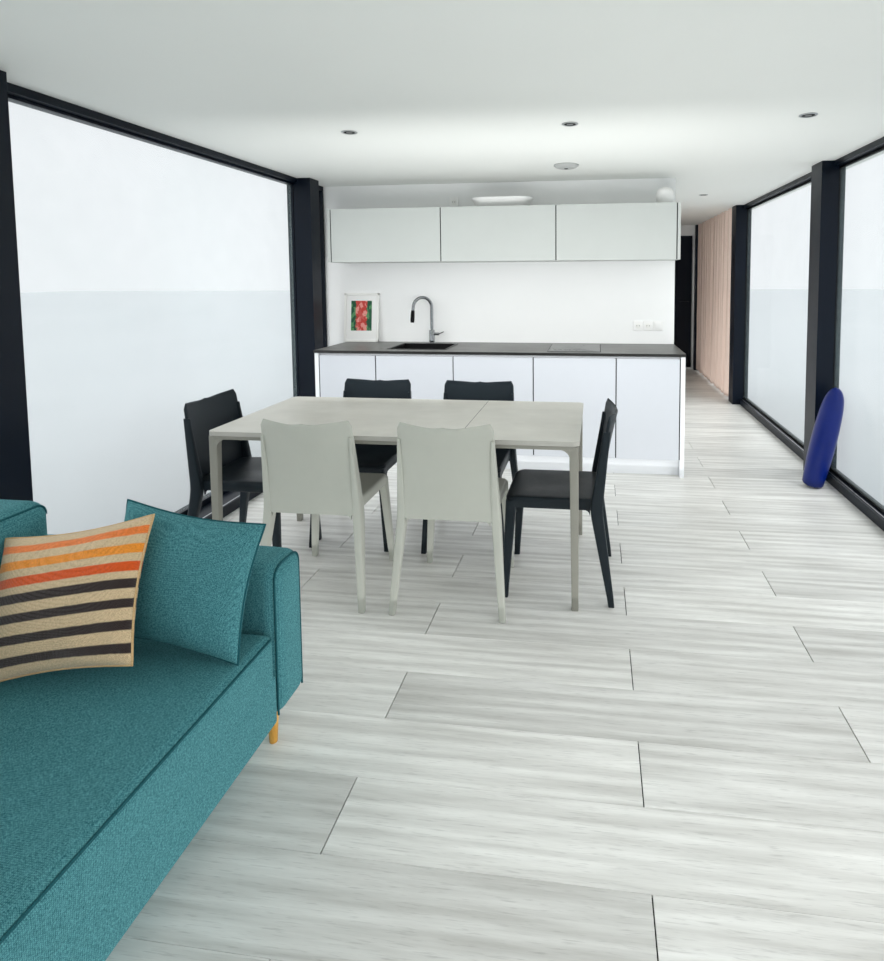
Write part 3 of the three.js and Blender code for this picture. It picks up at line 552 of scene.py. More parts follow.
def build_grain(sketch: Sketch, given: dict) -> dict:
    """Fine even grain: a noise and a cell pattern of the same size, for peel, plaster and moulded skins."""
    dots = sketch.noise(given["Vector"], given["Scale"], 2.0, 0.6)
    cells = sketch.put("TexVoronoi", {"Vector": given["Vector"], "Scale": given["Scale"]}).outputs[0]
    return {"Height": sketch.sums("MULTIPLY_ADD", cells, 0.35, dots)}


def build_timber(sketch: Sketch, given: dict) -> dict:
    """Figure of sawn oak along X.

    Long streaks are noise stretched along X, the cathedrals are a wave bent by slow noise, and pores
    are short fine streaks. The board's own number moves the whole figure so that no two boards match.
    """
    jump = sketch.put("CombineXYZ", {0: sketch.sums("MULTIPLY", given["Board"], 31.7),
                                     1: sketch.sums("MULTIPLY", given["Board"], 17.3),
                                     2: sketch.sums("MULTIPLY", given["Board"], 5.1)}).outputs[0]
    place = sketch.vectors("ADD", given["Vector"], jump)
    streak = sketch.noise(sketch.stretched(place, (2.2, 34, 34)), 1.0, 5.0, 0.62)
    cloud = sketch.noise(sketch.stretched(place, (1.5, 6, 6)), 1.0, 3.0, 0.5)
    wave = sketch.put("TexWave", {"Vector": sketch.stretched(place, (0.42, 5.2, 5.2)), "Scale": 1.0,
                                  "Distortion": 9.0, "Detail": 3.0, "Detail Scale": 1.1,
                                  "Detail Roughness": 0.55}, bands_direction="Y").outputs[1]
    pore = sketch.noise(sketch.stretched(place, (14, 240, 240)), 1.0, 2.0, 0.7)
    pore = sketch.spread(pore, 0.56, 0.72)
    line = sketch.sums("ADD", sketch.sums("MULTIPLY", streak, 0.56), sketch.sums("MULTIPLY", wave, 0.12))
    mask = sketch.spread(sketch.sums("MULTIPLY_ADD", cloud, 0.32, line), 0.34, 0.66)
    return {"Mask": mask, "Pores": pore, "Height": sketch.sums("SUBTRACT", mask, pore)}


def build_weave(sketch: Sketch, given: dict) -> dict:
    """Woven yarns in all three planes.

    Along each axis a yarn is |sin| of the place times the thread count. Where two sets cross, one goes
    over the other by turns, the sign of the product of half-speed sines. A stretched noise makes the
    yarns uneven and mixes light and dark ones.
    """
    wobble = sketch.noise(given["Vector"], 60.0, 2.0, 0.5)
    scaled = sketch.put("VectorMath", {0: given["Vector"], "Scale": given["Threads"]}, operation="SCALE")
    split = sketch.put("SeparateXYZ", {0: scaled.outputs[0]})
    bent = sketch.sums("MULTIPLY", wobble, 1.6)
    waves = [sketch.sums("SINE", sketch.sums("ADD", split.outputs[k], bent)) for k in range(3)]
    pairs = [sketch.sums("MULTIPLY", waves[a], waves[b]) for a, b in ((0, 1), (1, 2), (2, 0))]
    total = sketch.sums("ADD", sketch.sums("ADD", pairs[0], pairs[1]), pairs[2])
    height = sketch.spread(total, -1.0, 1.0)
    yarn = sketch.noise(sketch.stretched(given["Vector"], (1, 1, 1), (0.6, 0.5, 0.7)),
                        sketch.sums("MULTIPLY", given["Threads"], 0.16), 3.0, 0.7)
    mixed = sketch.spread(sketch.sums("MULTIPLY_ADD", height, 0.22, yarn), 0.42, 0.78)
    return {"Mask": mixed, "Height": height}


def build_arris(sketch: Sketch, given: dict) -> dict:
    """Softened edges: the normal of a rounded edge, and where it leaves the true normal."""
    bevel = sketch.put("Bevel", {"Radius": given["Radius"]}, samples=2)
    true = sketch.put("NewGeometry").outputs["True Normal"]
    facing = sketch.put("VectorMath", {0: bevel.outputs[0], 1: true}, operation="DOT_PRODUCT")
    return {"Normal": bevel.outputs[0], "Wear": sketch.spread(facing.outputs["Value"], 0.99, 0.86)}


def build_dust(sketch: Sketch, given: dict) -> dict:
    """Settled dust: faces that look up, broken up by noise."""
    up = sketch.put("SeparateXYZ", {0: sketch.put("NewGeometry").outputs["Normal"]}).outputs[2]
    speck = sketch.noise(given["Vector"], 9.0, 5.0, 0.65)
    return {"Mask": sketch.sums("MULTIPLY", sketch.spread(up, 0.5, 1.0), sketch.spread(speck, 0.35, 0.75))}


class Effects:
    """The node groups that finishes share."""

    def __init__(self) -> None:
        """Builds each group once."""
        vector = ("Vector", "Vector", (0, 0, 0))
        self.tone = make_group("uneven_tone", [vector, ("Scale", "Float", 1.0)], [("Mask", "Float")],
                               build_tone)
        self.grain = make_group("fine_grain", [vector, ("Scale", "Float", 400.0)], [("Height", "Float")],
                                build_grain)
        self.timber = make_group("timber_figure", [vector, ("Board", "Float", 0.5)],
                                 [("Mask", "Float"), ("Pores", "Float"), ("Height", "Float")], build_timber)
        self.weave = make_group("woven_yarn", [vector, ("Threads", "Float", 2000.0)],
                                [("Mask", "Float"), ("Height", "Float")], build_weave)
        self.arris = make_group("soft_arris", [("Radius", "Float", 0.002)],
                                [("Normal", "Vector"), ("Wear", "Float")], build_arris)
        self.dust = make_group("settled_dust", [vector], [("Mask", "Float")], build_dust)


def start_material(name: str, values: dict) -> tuple[bpy.types.Material, Sketch, bpy.types.Node]:
    """A new material with a Principled shader whose plain sockets are set.

    Args:
        name: of the material.
        values: socket name to value.

    Returns:
        The material, a sketch of its tree and the shader node.
    """
    material = bpy.data.materials.new(name)
    material.use_nodes = True
    sketch, shader = Sketch(material.node_tree), material.node_tree.nodes["Principled BSDF"]
    sketch.feed(shader, values)
    return material, sketch, shader


def place_of(sketch: Sketch) -> bpy.types.NodeSocket:
    """The Object coordinates of a piece."""
    return sketch.put("TexCoord").outputs["Object"]


def raise_by(sketch: Sketch, shader: bpy.types.Node, height: bpy.types.NodeSocket, distance: float,
             strength: float = 1.0, normal: bpy.types.NodeSocket | None = None) -> None:
    """Feeds a height through a Bump node to the shader's Normal."""
    inputs = {"Height": height, "Distance": distance, "Strength": strength}
    if normal is not None:
        inputs["Normal"] = normal
    sketch.feed(shader, {"Normal": sketch.put("Bump", inputs).outputs[0]})


@dataclass(frozen=True)
class Paint:
    """Paint, powder coat, laminate or moulded plastic: a tone that varies, fine grain and worn edges."""

    name: str
    colour: Colour
    rough: float = 0.5
    metal: float = 0.0
    vary: float = 0.06
    blotch: float = 1.5
    grain: float = 900.0
    grain_depth: float = 0.0001
    edge: float = 0.002
    worn: Colour | None = None
    dust: float = 0.0
    coat: float = 0.0
    specular: float = 0.5

    def make(self, effects: Effects) -> bpy.types.Material:
        """Builds the material."""
        material, sketch, shader = start_material(self.name, {
            "Metallic": self.metal, "Coat Weight": self.coat, "Coat Roughness": 0.15,
            "Specular IOR Level": self.specular})
        place = place_of(sketch)
        tone = sketch.group(effects.tone, Vector=place, Scale=self.blotch).outputs["Mask"]
        darker = tuple(v * (1 - self.vary) for v in self.colour)
        lighter = tuple(min(v * (1 + self.vary), 1.0) for v in self.colour)
        colour = sketch.blend(tone, darker, lighter)
        arris = sketch.group(effects.arris, Radius=self.edge)
        if self.worn is not None:
            wear = sketch.sums("MULTIPLY", arris.outputs["Wear"], tone)
            colour = sketch.blend(wear, colour, self.worn)
        if self.dust > 0:
            dust = sketch.group(effects.dust, Vector=place).outputs["Mask"]
            colour = sketch.blend(sketch.sums("MULTIPLY", dust, self.dust), colour, screen(196, 190, 176))
        rough = sketch.spread(tone, 0, 1, self.rough * 0.88, min(self.rough * 1.14, 1.0))
        grain = sketch.group(effects.grain, Vector=place, Scale=self.grain)
        sketch.feed(shader, {"Base Color": colour, "Roughness": rough})
        raise_by(sketch, shader, grain.outputs[0], self.grain_depth, 0.6, arris.outputs["Normal"])
        return material


@dataclass(frozen=True)
class Timber:
    """Boards of oak, larch or laminate; along is the axis that the grain follows."""

    name: str
    light: Colour
    dark: Colour
    along: str = "X"
    rough: float = 0.5
    board_tone: float = 0.16
    pore: float = 0.35
    depth: float = 0.0004
    weather: float = 0.0

    def make(self, effects: Effects) -> bpy.types.Material:
        """Builds the material."""
        material, sketch, shader = start_material(self.name, {"Specular IOR Level": 0.4})
        place = place_of(sketch)
        turns = {"X": (0, 0, 0), "Y": (0, 0, math.pi / 2), "Z": (0, math.pi / 2, 0)}
        place = sketch.stretched(place, (1, 1, 1), turns[self.along])
        board = sketch.put("Attribute", attribute_name="shade").outputs["Fac"]
        figure = sketch.group(effects.timber, Vector=place, Board=board)
        colour = sketch.blend(figure.outputs["Mask"], self.dark, self.light)
        pores = sketch.sums("MULTIPLY", figure.outputs["Pores"], self.pore)
        colour = sketch.blend(pores, colour, tuple(v * 0.45 for v in self.dark))
        tone = sketch.spread(board, 0, 1, 1 - self.board_tone, 1 + self.board_tone)
        colour = sketch.put("VectorMath", {0: colour, "Scale": tone}, operation="SCALE").outputs[0]
        if self.weather > 0:
            blotch = sketch.group(effects.tone, Vector=place, Scale=2.2).outputs["Mask"]
            share = sketch.sums("MULTIPLY", blotch, self.weather)
            colour = sketch.blend(share, colour, screen(150, 146, 136))
        rough = sketch.spread(figure.outputs["Mask"], 0, 1, self.rough * 1.15, self.rough * 0.85)
        sketch.feed(shader, {"Base Color": colour, "Roughness": rough})
        raise_by(sketch, shader, figure.outputs["Height"], self.depth, 0.5)
        return material


@dataclass(frozen=True)
class Cloth:
    """Woven upholstery or curtain: light and dark yarns, a soft nap and a faint unevenness."""

    name: str
    light: Colour
    dark: Colour
    threads: float = 2200.0
    depth: float = 0.0006
    sheen: float = 0.35
    fade: float = 0.12

    def make(self, effects: Effects) -> bpy.types.Material:
        """Builds the material."""
        material, sketch, shader = start_material(self.name, {
            "Roughness": 0.9, "Sheen Weight": self.sheen, "Sheen Roughness": 0.5,
            "Sheen Tint": (*self.light, 1.0), "Specular IOR Level": 0.25})
        place = place_of(sketch)
        weave = sketch.group(effects.weave, Vector=place, Threads=self.threads)
        colour = sketch.blend(weave.outputs["Mask"], self.dark, self.light)
        slow = sketch.group(effects.tone, Vector=place, Scale=2.0).outputs["Mask"]
        colour = sketch.blend(sketch.sums("MULTIPLY", slow, self.fade), colour, self.light)
        sketch.feed(shader, {"Base Color": colour})
        raise_by(sketch, shader, weave.outputs["Height"], self.depth, 0.7)
        return material


@dataclass(frozen=True)
class Banded:
    """A handwoven cover with plain cross bands; bands are (start, end, colour) from 0 at the top to 1."""

    name: str
    ground: Colour
    bands: tuple[tuple[float, float, Colour], ...]

    def make(self, effects: Effects) -> bpy.types.Material:
        """Builds the material."""
        material, sketch, shader = start_material(self.name, {
            "Roughness": 0.95, "Sheen Weight": 0.25, "Sheen Roughness": 0.5, "Specular IOR Level": 0.2})
        place = place_of(sketch)
        flat = sketch.put("Attribute", attribute_name="cloth").outputs["Vector"]
        across = sketch.put("SeparateXYZ", {0: flat}).outputs[1]
        wobble = sketch.noise(sketch.stretched(place, (60, 60, 60)), 1.0, 2.0, 0.6)
        across = sketch.sums("MULTIPLY_ADD", wobble, 0.014, across)
        down = sketch.spread(across, 1.0, -1.0)
        colour: object = self.ground
        for start, end, tint in self.bands:
            above = sketch.spread(down, start - 0.004, start + 0.004)
            below = sketch.spread(down, end - 0.004, end + 0.004, 1.0, 0.0)
            colour = sketch.blend(sketch.sums("MULTIPLY", above, below), colour, tint)
        weave = sketch.group(effects.weave, Vector=place, Threads=1700.0)
        colour = sketch.blend(sketch.spread(weave.outputs["Mask"], 0, 1, 0.38, 0.0), colour,
                              screen(84, 66, 52), "MULTIPLY")
        sketch.feed(shader, {"Base Color": colour})
        raise_by(sketch, shader, weave.outputs["Height"], 0.0012, 0.8)
        return material


@dataclass(frozen=True)
class Glass:
    """Clear glazing with a faint green body."""

    name: str
    colour: Colour
    alpha: float = 0.1
    rough: float = 0.03

    def make(self, effects: Effects) -> bpy.types.Material:
        """Builds the material."""
        material, sketch, shader = start_material(self.name, {
            "Metallic": 0.0, "Transmission Weight": 0.0, "IOR": 1.5, "Base Color": (*self.colour, 1.0)})
        place = place_of(sketch)
        tone = sketch.group(effects.tone, Vector=place, Scale=1.4).outputs["Mask"]
        rough = sketch.spread(tone, 0, 1, self.rough * 0.5, self.rough * 1.6)
        veil = sketch.spread(tone, 0, 1, self.alpha * 0.8, self.alpha * 1.2)
        sketch.feed(shader, {"Roughness": rough, "Alpha": veil})
        return material


@dataclass(frozen=True)
class Stone:
    """Ceramic or quartz composite: clouds, fine speckle, a satin face and painted shade on faces that don't
    look up.
    """

    name: str
    light: Colour
    dark: Colour
    rough: float = 0.45
    cloud: float = 3.0
    speck: float = 0.25
    speck_size: float = 700.0
    # share of the colour kept on faces that don't look up: painted shade on the sides
    side: float = 1.0

    def make(self, effects: Effects) -> bpy.types.Material:
        """Builds the material."""
        material, sketch, shader = start_material(self.name, {})
        place = place_of(sketch)
        tone = sketch.group(effects.tone, Vector=place, Scale=self.cloud).outputs["Mask"]
        vein = sketch.noise(sketch.stretched(place, (3.0, 9.0, 9.0)), 1.0, 6.0, 0.65)
        colour = sketch.blend(sketch.sums("MULTIPLY_ADD", vein, 0.5, sketch.sums("MULTIPLY", tone, 0.5)),
                              self.dark, self.light)
        dots = sketch.spread(sketch.noise(place, self.speck_size, 1.0, 0.5), 0.6, 0.7)
        colour = sketch.blend(sketch.sums("MULTIPLY", dots, self.speck), colour, self.dark)
        # painted shade: faces that don't look up are darkened down to the factor side
        up = sketch.put("SeparateXYZ", {0: sketch.put("NewGeometry").outputs["True Normal"]}).outputs[2]
        shade = sketch.spread(up, 0.5, 0.9, self.side, 1.0)
        colour = sketch.put("VectorMath", {0: colour, "Scale": shade}, operation="SCALE").outputs[0]
        arris = sketch.group(effects.arris, Radius=0.0025)
        rough = sketch.spread(tone, 0, 1, self.rough * 0.85, self.rough * 1.2)
        grain = sketch.group(effects.grain, Vector=place, Scale=1200.0)
        sketch.feed(shader, {"Base Color": colour, "Roughness": rough})
        raise_by(sketch, shader, grain.outputs[0], 0.00008, 0.5, arris.outputs["Normal"])
        return material


@dataclass(frozen=True)
class Metal:
    """Bare metal with fine brushing along an axis."""

    name: str
    colour: Colour
    rough: float = 0.25
    brush: tuple[float, float, float] = (20.0, 20.0, 600.0)

    def make(self, effects: Effects) -> bpy.types.Material:
        """Builds the material."""
        material, sketch, shader = start_material(self.name, {"Metallic": 1.0})
        place = place_of(sketch)
        brushed = sketch.noise(sketch.stretched(place, self.brush), 1.0, 2.0, 0.6)
        tone = sketch.group(effects.tone, Vector=place, Scale=6.0).outputs["Mask"]
        colour = sketch.blend(tone, tuple(v * 0.93 for v in self.colour), self.colour)
        rough = sketch.spread(sketch.sums("MULTIPLY_ADD", brushed, 0.6, tone), 0.2, 1.3,
                              self.rough * 0.7, self.rough * 1.35)
        sketch.feed(shader, {"Base Color": colour, "Roughness": rough})
        raise_by(sketch, shader, brushed, 0.00005, 0.4)
        return material


@dataclass(frozen=True)
class Roofing:
    """White ceiling and edge panels below, grey single-ply membrane with welded laps on top."""

    name: str
    ceiling: Colour
    membrane: Colour

    def make(self, effects: Effects) -> bpy.types.Material:
        """Builds the material."""
        material, sketch, shader = start_material(self.name, {})
        place = place_of(sketch)
        tone = sketch.group(effects.tone, Vector=place, Scale=0.8).outputs["Mask"]
        up = sketch.put("SeparateXYZ", {0: sketch.put("NewGeometry").outputs["True Normal"]}).outputs[2]
        top = sketch.spread(up, 0.4, 0.6)
        under = sketch.blend(tone, tuple(v * 0.985 for v in self.ceiling), self.ceiling)
        along = sketch.put("SeparateXYZ", {0: place}).outputs[1]
        lap = sketch.sums("PINGPONG", along, 0.75)
        lap = sketch.spread(lap, 0.0, 0.012, 1.0, 0.0)
        sheet = sketch.blend(tone, tuple(v * 0.8 for v in self.membrane), self.membrane)
        sheet = sketch.blend(sketch.sums("MULTIPLY", lap, 0.4), sheet, grey(0.12))
        colour = sketch.blend(top, under, sheet)
        grain = sketch.group(effects.grain, Vector=place, Scale=260.0)
        sketch.feed(shader, {"Base Color": colour, "Roughness": sketch.spread(top, 0, 1, 0.62, 0.85)})
        arris = sketch.group(effects.arris, Radius=0.004)
        raise_by(sketch, shader, grain.outputs[0], 0.0002, 0.35, arris.outputs["Normal"])
        return material


@dataclass(frozen=True)
class Print:
    """A plain pattern of soft dabs in greens, reds and pinks on paper, with no subject."""

    name: str

    def make(self, effects: Effects) -> bpy.types.Material:
        """Builds the material: cell colours from a voronoi, warm dabs in the middle on a green ground."""
        material, sketch, shader = start_material(self.name, {"Roughness": 0.55})
        flat = sketch.put("Attribute", attribute_name="cloth").outputs["Vector"]
        bend = sketch.put("TexNoise", {"Vector": flat, "Scale": 3.0, "Detail": 3.0}).outputs["Color"]
        place = sketch.vectors("ADD", flat, sketch.vectors("MULTIPLY", bend, (0.5, 0.5, 0)))
        cell = sketch.put("TexVoronoi", {"Vector": place, "Scale": 3.2, "Randomness": 0.9})
        pick = sketch.put("SeparateXYZ", {0: cell.outputs["Color"]}).outputs[0]
        greens = sketch.blend(sketch.spread(pick, 0.4, 0.6), screen(24, 84, 58), screen(88, 146, 96))
        warm = sketch.blend(sketch.spread(pick, 0.35, 0.65), screen(196, 62, 54), screen(226, 150, 140))
        split = sketch.put("SeparateXYZ", {0: flat})
        inside = sketch.spread(sketch.sums("ABSOLUTE", split.outputs[0]), 0.3, 0.65, 1.0, 0.0)
        gate = sketch.spread(sketch.sums("MULTIPLY", inside, cell.outputs["Distance"]), 0.12, 0.2)
        colour = sketch.blend(gate, greens, warm)
        sketch.feed(shader, {"Base Color": colour})
        grain = sketch.group(effects.grain, Vector=place, Scale=40.0)
        raise_by(sketch, shader, grain.outputs[0], 0.0001, 0.3)
        return material


BROWN = screen(52, 42, 40)
STRIPES = (
    (0.060, 0.115, screen(238, 130, 60)), (0.180, 0.245, screen(240, 150, 50)),
    (0.305, 0.375, screen(222, 90, 30)), (0.430, 0.500, BROWN), (0.575, 0.640, BROWN),
    (0.725, 0.790, BROWN), (0.870, 0.930, BROWN),
)


class Finishes:
    """Every finish of the boat, built once."""

    def __init__(self) -> None:
        """Builds the shared groups and then the materials."""
        effects = Effects()
        make = {
            "hull": Paint("hull_paint", screen(52, 58, 64), 0.42, vary=0.12, grain=300, grain_depth=0.0003,
                          worn=screen(120, 122, 120), dust=0.3),
            "steel": Paint("deck_steel", screen(70, 76, 82), 0.45, vary=0.1, worn=screen(140, 140, 136),
                           dust=0.4),
            "anthracite": Paint("anthracite_coat", screen(6, 15, 27), 0.36, vary=0.08, grain=1500,
                                grain_depth=0.00006, worn=screen(40, 52, 66), specular=0.22),
            "ceiling": Roofing("ceiling_and_roof", screen(238, 240, 236), screen(150, 154, 154)),
            "wall": Paint("wall_paint", screen(243, 244, 243), 0.7, vary=0.015, blotch=0.9, grain=220,
                          grain_depth=0.0004, edge=0.002),
            "fronts": Paint("front_lacquer", screen(198, 202, 208), 0.32, vary=0.012, grain=1800,
                            grain_depth=0.00003, edge=0.0015),
            "flaps": Paint("grey_lacquer", screen(194, 198, 195), 0.5, vary=0.02, grain=1800,
                           grain_depth=0.00003, edge=0.0015),
            "carcass": Paint("carcass_board", screen(232, 235, 238), 0.5, vary=0.02, edge=0.001),
            "shadow": Paint("shadow_gap", screen(20, 21, 22), 0.7, vary=0.1, edge=0.001, specular=0.1),
            # side=0.12 paints shade on the worktop's front edge, nearly black
            "worktop": Stone("worktop_composite", screen(112, 112, 109), screen(84, 84, 82), rough=0.38,
                             cloud=4.0, speck=0.4, side=0.12),
            "sink": Paint("black_composite", screen(18, 18, 19), 0.45, vary=0.15, grain=900,
                          grain_depth=0.0002, specular=0.3),
            "hob": Paint("hob_glass", screen(92, 93, 92), 0.28, vary=0.1, grain=60, grain_depth=0.00001,
                         specular=0.35),
            "chrome": Metal("polished_metal", screen(170, 172, 174), 0.1),
            "brushed": Metal("brushed_metal", screen(200, 202, 204), 0.3),
            "rail": Metal("stainless_tube", screen(205, 208, 210), 0.24, brush=(400.0, 400.0, 400.0)),
            # side=0.7 paints shade on the table top's edges
            "table": Stone("table_ceramic", screen(218, 216, 208), screen(178, 176, 167), rough=0.4,
                           cloud=2.2, speck=0.18, side=0.7),
            "table_metal": Paint("table_frame_coat", screen(140, 139, 130), 0.45, metal=0.2, vary=0.05,
                                 grain=1600, worn=screen(176, 174, 164)),
            "pale": Paint("pale_polypropylene", screen(172, 174, 165), 0.5, vary=0.03, blotch=4.0,
                          grain=1400, grain_depth=0.00012, specular=0.35),
            "dark": Paint("dark_polypropylene", screen(22, 31, 37), 0.42, vary=0.08, blotch=4.0, grain=1400,
                          grain_depth=0.00012, specular=0.3),
            "teal": Cloth("teal_upholstery", screen(86, 144, 148), screen(18, 76, 86), threads=1700,
                          depth=0.0006, sheen=0.2, fade=0.08),
            "piping": Cloth("teal_piping", screen(32, 88, 94), screen(14, 60, 68), threads=3000,
                            depth=0.0003, sheen=0.2, fade=0.05),
            "stripes": Banded("banded_cover", screen(214, 190, 152), STRIPES),
            "cover_edge": Cloth("cover_edge", screen(206, 176, 132), screen(172, 140, 98), threads=2400,
                                depth=0.0003, sheen=0.2, fade=0.05),
            "curtain": Cloth("curtain_linen", screen(244, 226, 214), screen(226, 196, 182), threads=1600,
                             depth=0.0003, sheen=0.2, fade=0.3),
            "fender": Paint("fender_vinyl", screen(0, 24, 96), 0.34, vary=0.1, blotch=6.0, grain=500,
                            grain_depth=0.0002, coat=0.1, specular=0.3),
            "frame_white": Paint("white_frame", screen(240, 240, 236), 0.4, vary=0.02, grain=1500),
            "print": Print("abstract_print"),
            "planks": Timber("grey_washed_oak", screen(236, 236, 232), screen(194, 193, 188), "X",
                             rough=0.36, board_tone=0.09, pore=0.3),
            "decking": Timber("deck_larch", screen(176, 158, 128), screen(112, 96, 76), "X", rough=0.75,
                              board_tone=0.2, pore=0.5, depth=0.0008, weather=0.45),
            "cladding": Timber("wall_larch", screen(168, 132, 96), screen(104, 76, 54), "Y", rough=0.7,
                               board_tone=0.22, pore=0.5, depth=0.0008, weather=0.25),
            "leg_wood": Timber("beech_leg", screen(226, 176, 84), screen(190, 132, 52), "Z", rough=0.4,
                               board_tone=0.05, pore=0.2),
            "glass": Glass("clear_glazing", screen(206, 226, 226), alpha=0.1),
            "rubber": Paint("black_rubber", screen(14, 14, 15), 0.7, vary=0.1, edge=0.001, specular=0.2),
            # white alarm plastic made grey: painted shade over the whole smoke alarm
            "alarm": Paint("alarm_plastic_painted_shade", screen(176, 178, 176), 0.5, vary=0.02, edge=0.001),
            "white_plastic": Paint("white_plastic", screen(242, 242, 240), 0.35, vary=0.01, edge=0.001),
            "lamp": Paint("lamp_lens", screen(120, 122, 122), 0.3, vary=0.2, edge=0.001),
        }
        self.made = {key: finish.make(effects) for key, finish in make.items()}

    def __getitem__(self, key: str) -> bpy.types.Material:
        """The material of a finish."""
        return self.made[key]


# Pieces


class Crease(Enum):
    """How a piece's faces are shaded: flat, or smooth with edges sharper than so many degrees kept."""

    FLAT = 0.0
    CRISP = 30.0
    ROUND = 62.0


@dataclass
class Maker:
    """A part of the boat, which dresses CAD nodes and adds pieces in the boat's finishes."""

    finishes: Finishes

    def dress(self, finish: str, *names: str) -> None:
        """Gives CAD nodes a finish in place of their plain one."""
        material = self.finishes[finish]
        for name in names:
            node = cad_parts[name]
            for place in node.material_slots:
                place.material = material
            if not node.material_slots:
                node.data.materials.append(material)

    def piece(self, name: str, skin: Skin, looks: Sequence[str], slot: str, body: str = "boat",
              stands_for: Sequence[str] = (), crease: Crease = Crease.CRISP) -> bpy.types.Object:
        """Puts a skin into a mesh without its collapsed faces, dresses it and lets it ride on a body.

        Args:
            name: of the object.
            skin: its shells.
            looks: its finishes, in the order that the shells name.
            slot: not used.
            body: the CAD body that it moves with.
            stands_for: CAD nodes that it replaces.
            crease: shading.

        Returns:
            The object.
        """
        mesh = bpy.data.meshes.new(name)
        mesh.from_pydata(np.concatenate(skin.points).tolist(), [], skin.faces)
        mesh.polygons.foreach_set("material_index", np.concatenate(skin.dress))
        shade = mesh.attributes.new("shade", "FLOAT", "POINT")
        shade.data.foreach_set("value", np.concatenate(skin.shade).astype(np.float32))
        cloth = mesh.attributes.new("cloth", "FLOAT_VECTOR", "POINT")
        cloth.data.foreach_set("vector", np.concatenate(skin.cloth).astype(np.float32).ravel())
        for look in looks:
            mesh.materials.append(self.finishes[look])
        clean = bmesh.new()
        clean.from_mesh(mesh)
        bmesh.ops.dissolve_degenerate(clean, dist=1e-7, edges=clean.edges)
        clean.to_mesh(mesh)
        clean.free()
        if crease is not Crease.FLAT:
            mesh.shade_smooth()
            mesh.set_sharp_from_angle(angle=math.radians(crease.value))
        mesh.update()
        piece = bpy.data.objects.new(name, mesh)
        bpy.context.scene.collection.objects.link(piece)
        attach(piece, body)
        if stands_for:
            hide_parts(*stands_for)
        LOG.info("%s: %d points, %d faces", name, skin.count, len(skin.faces))
        return piece


# Studio


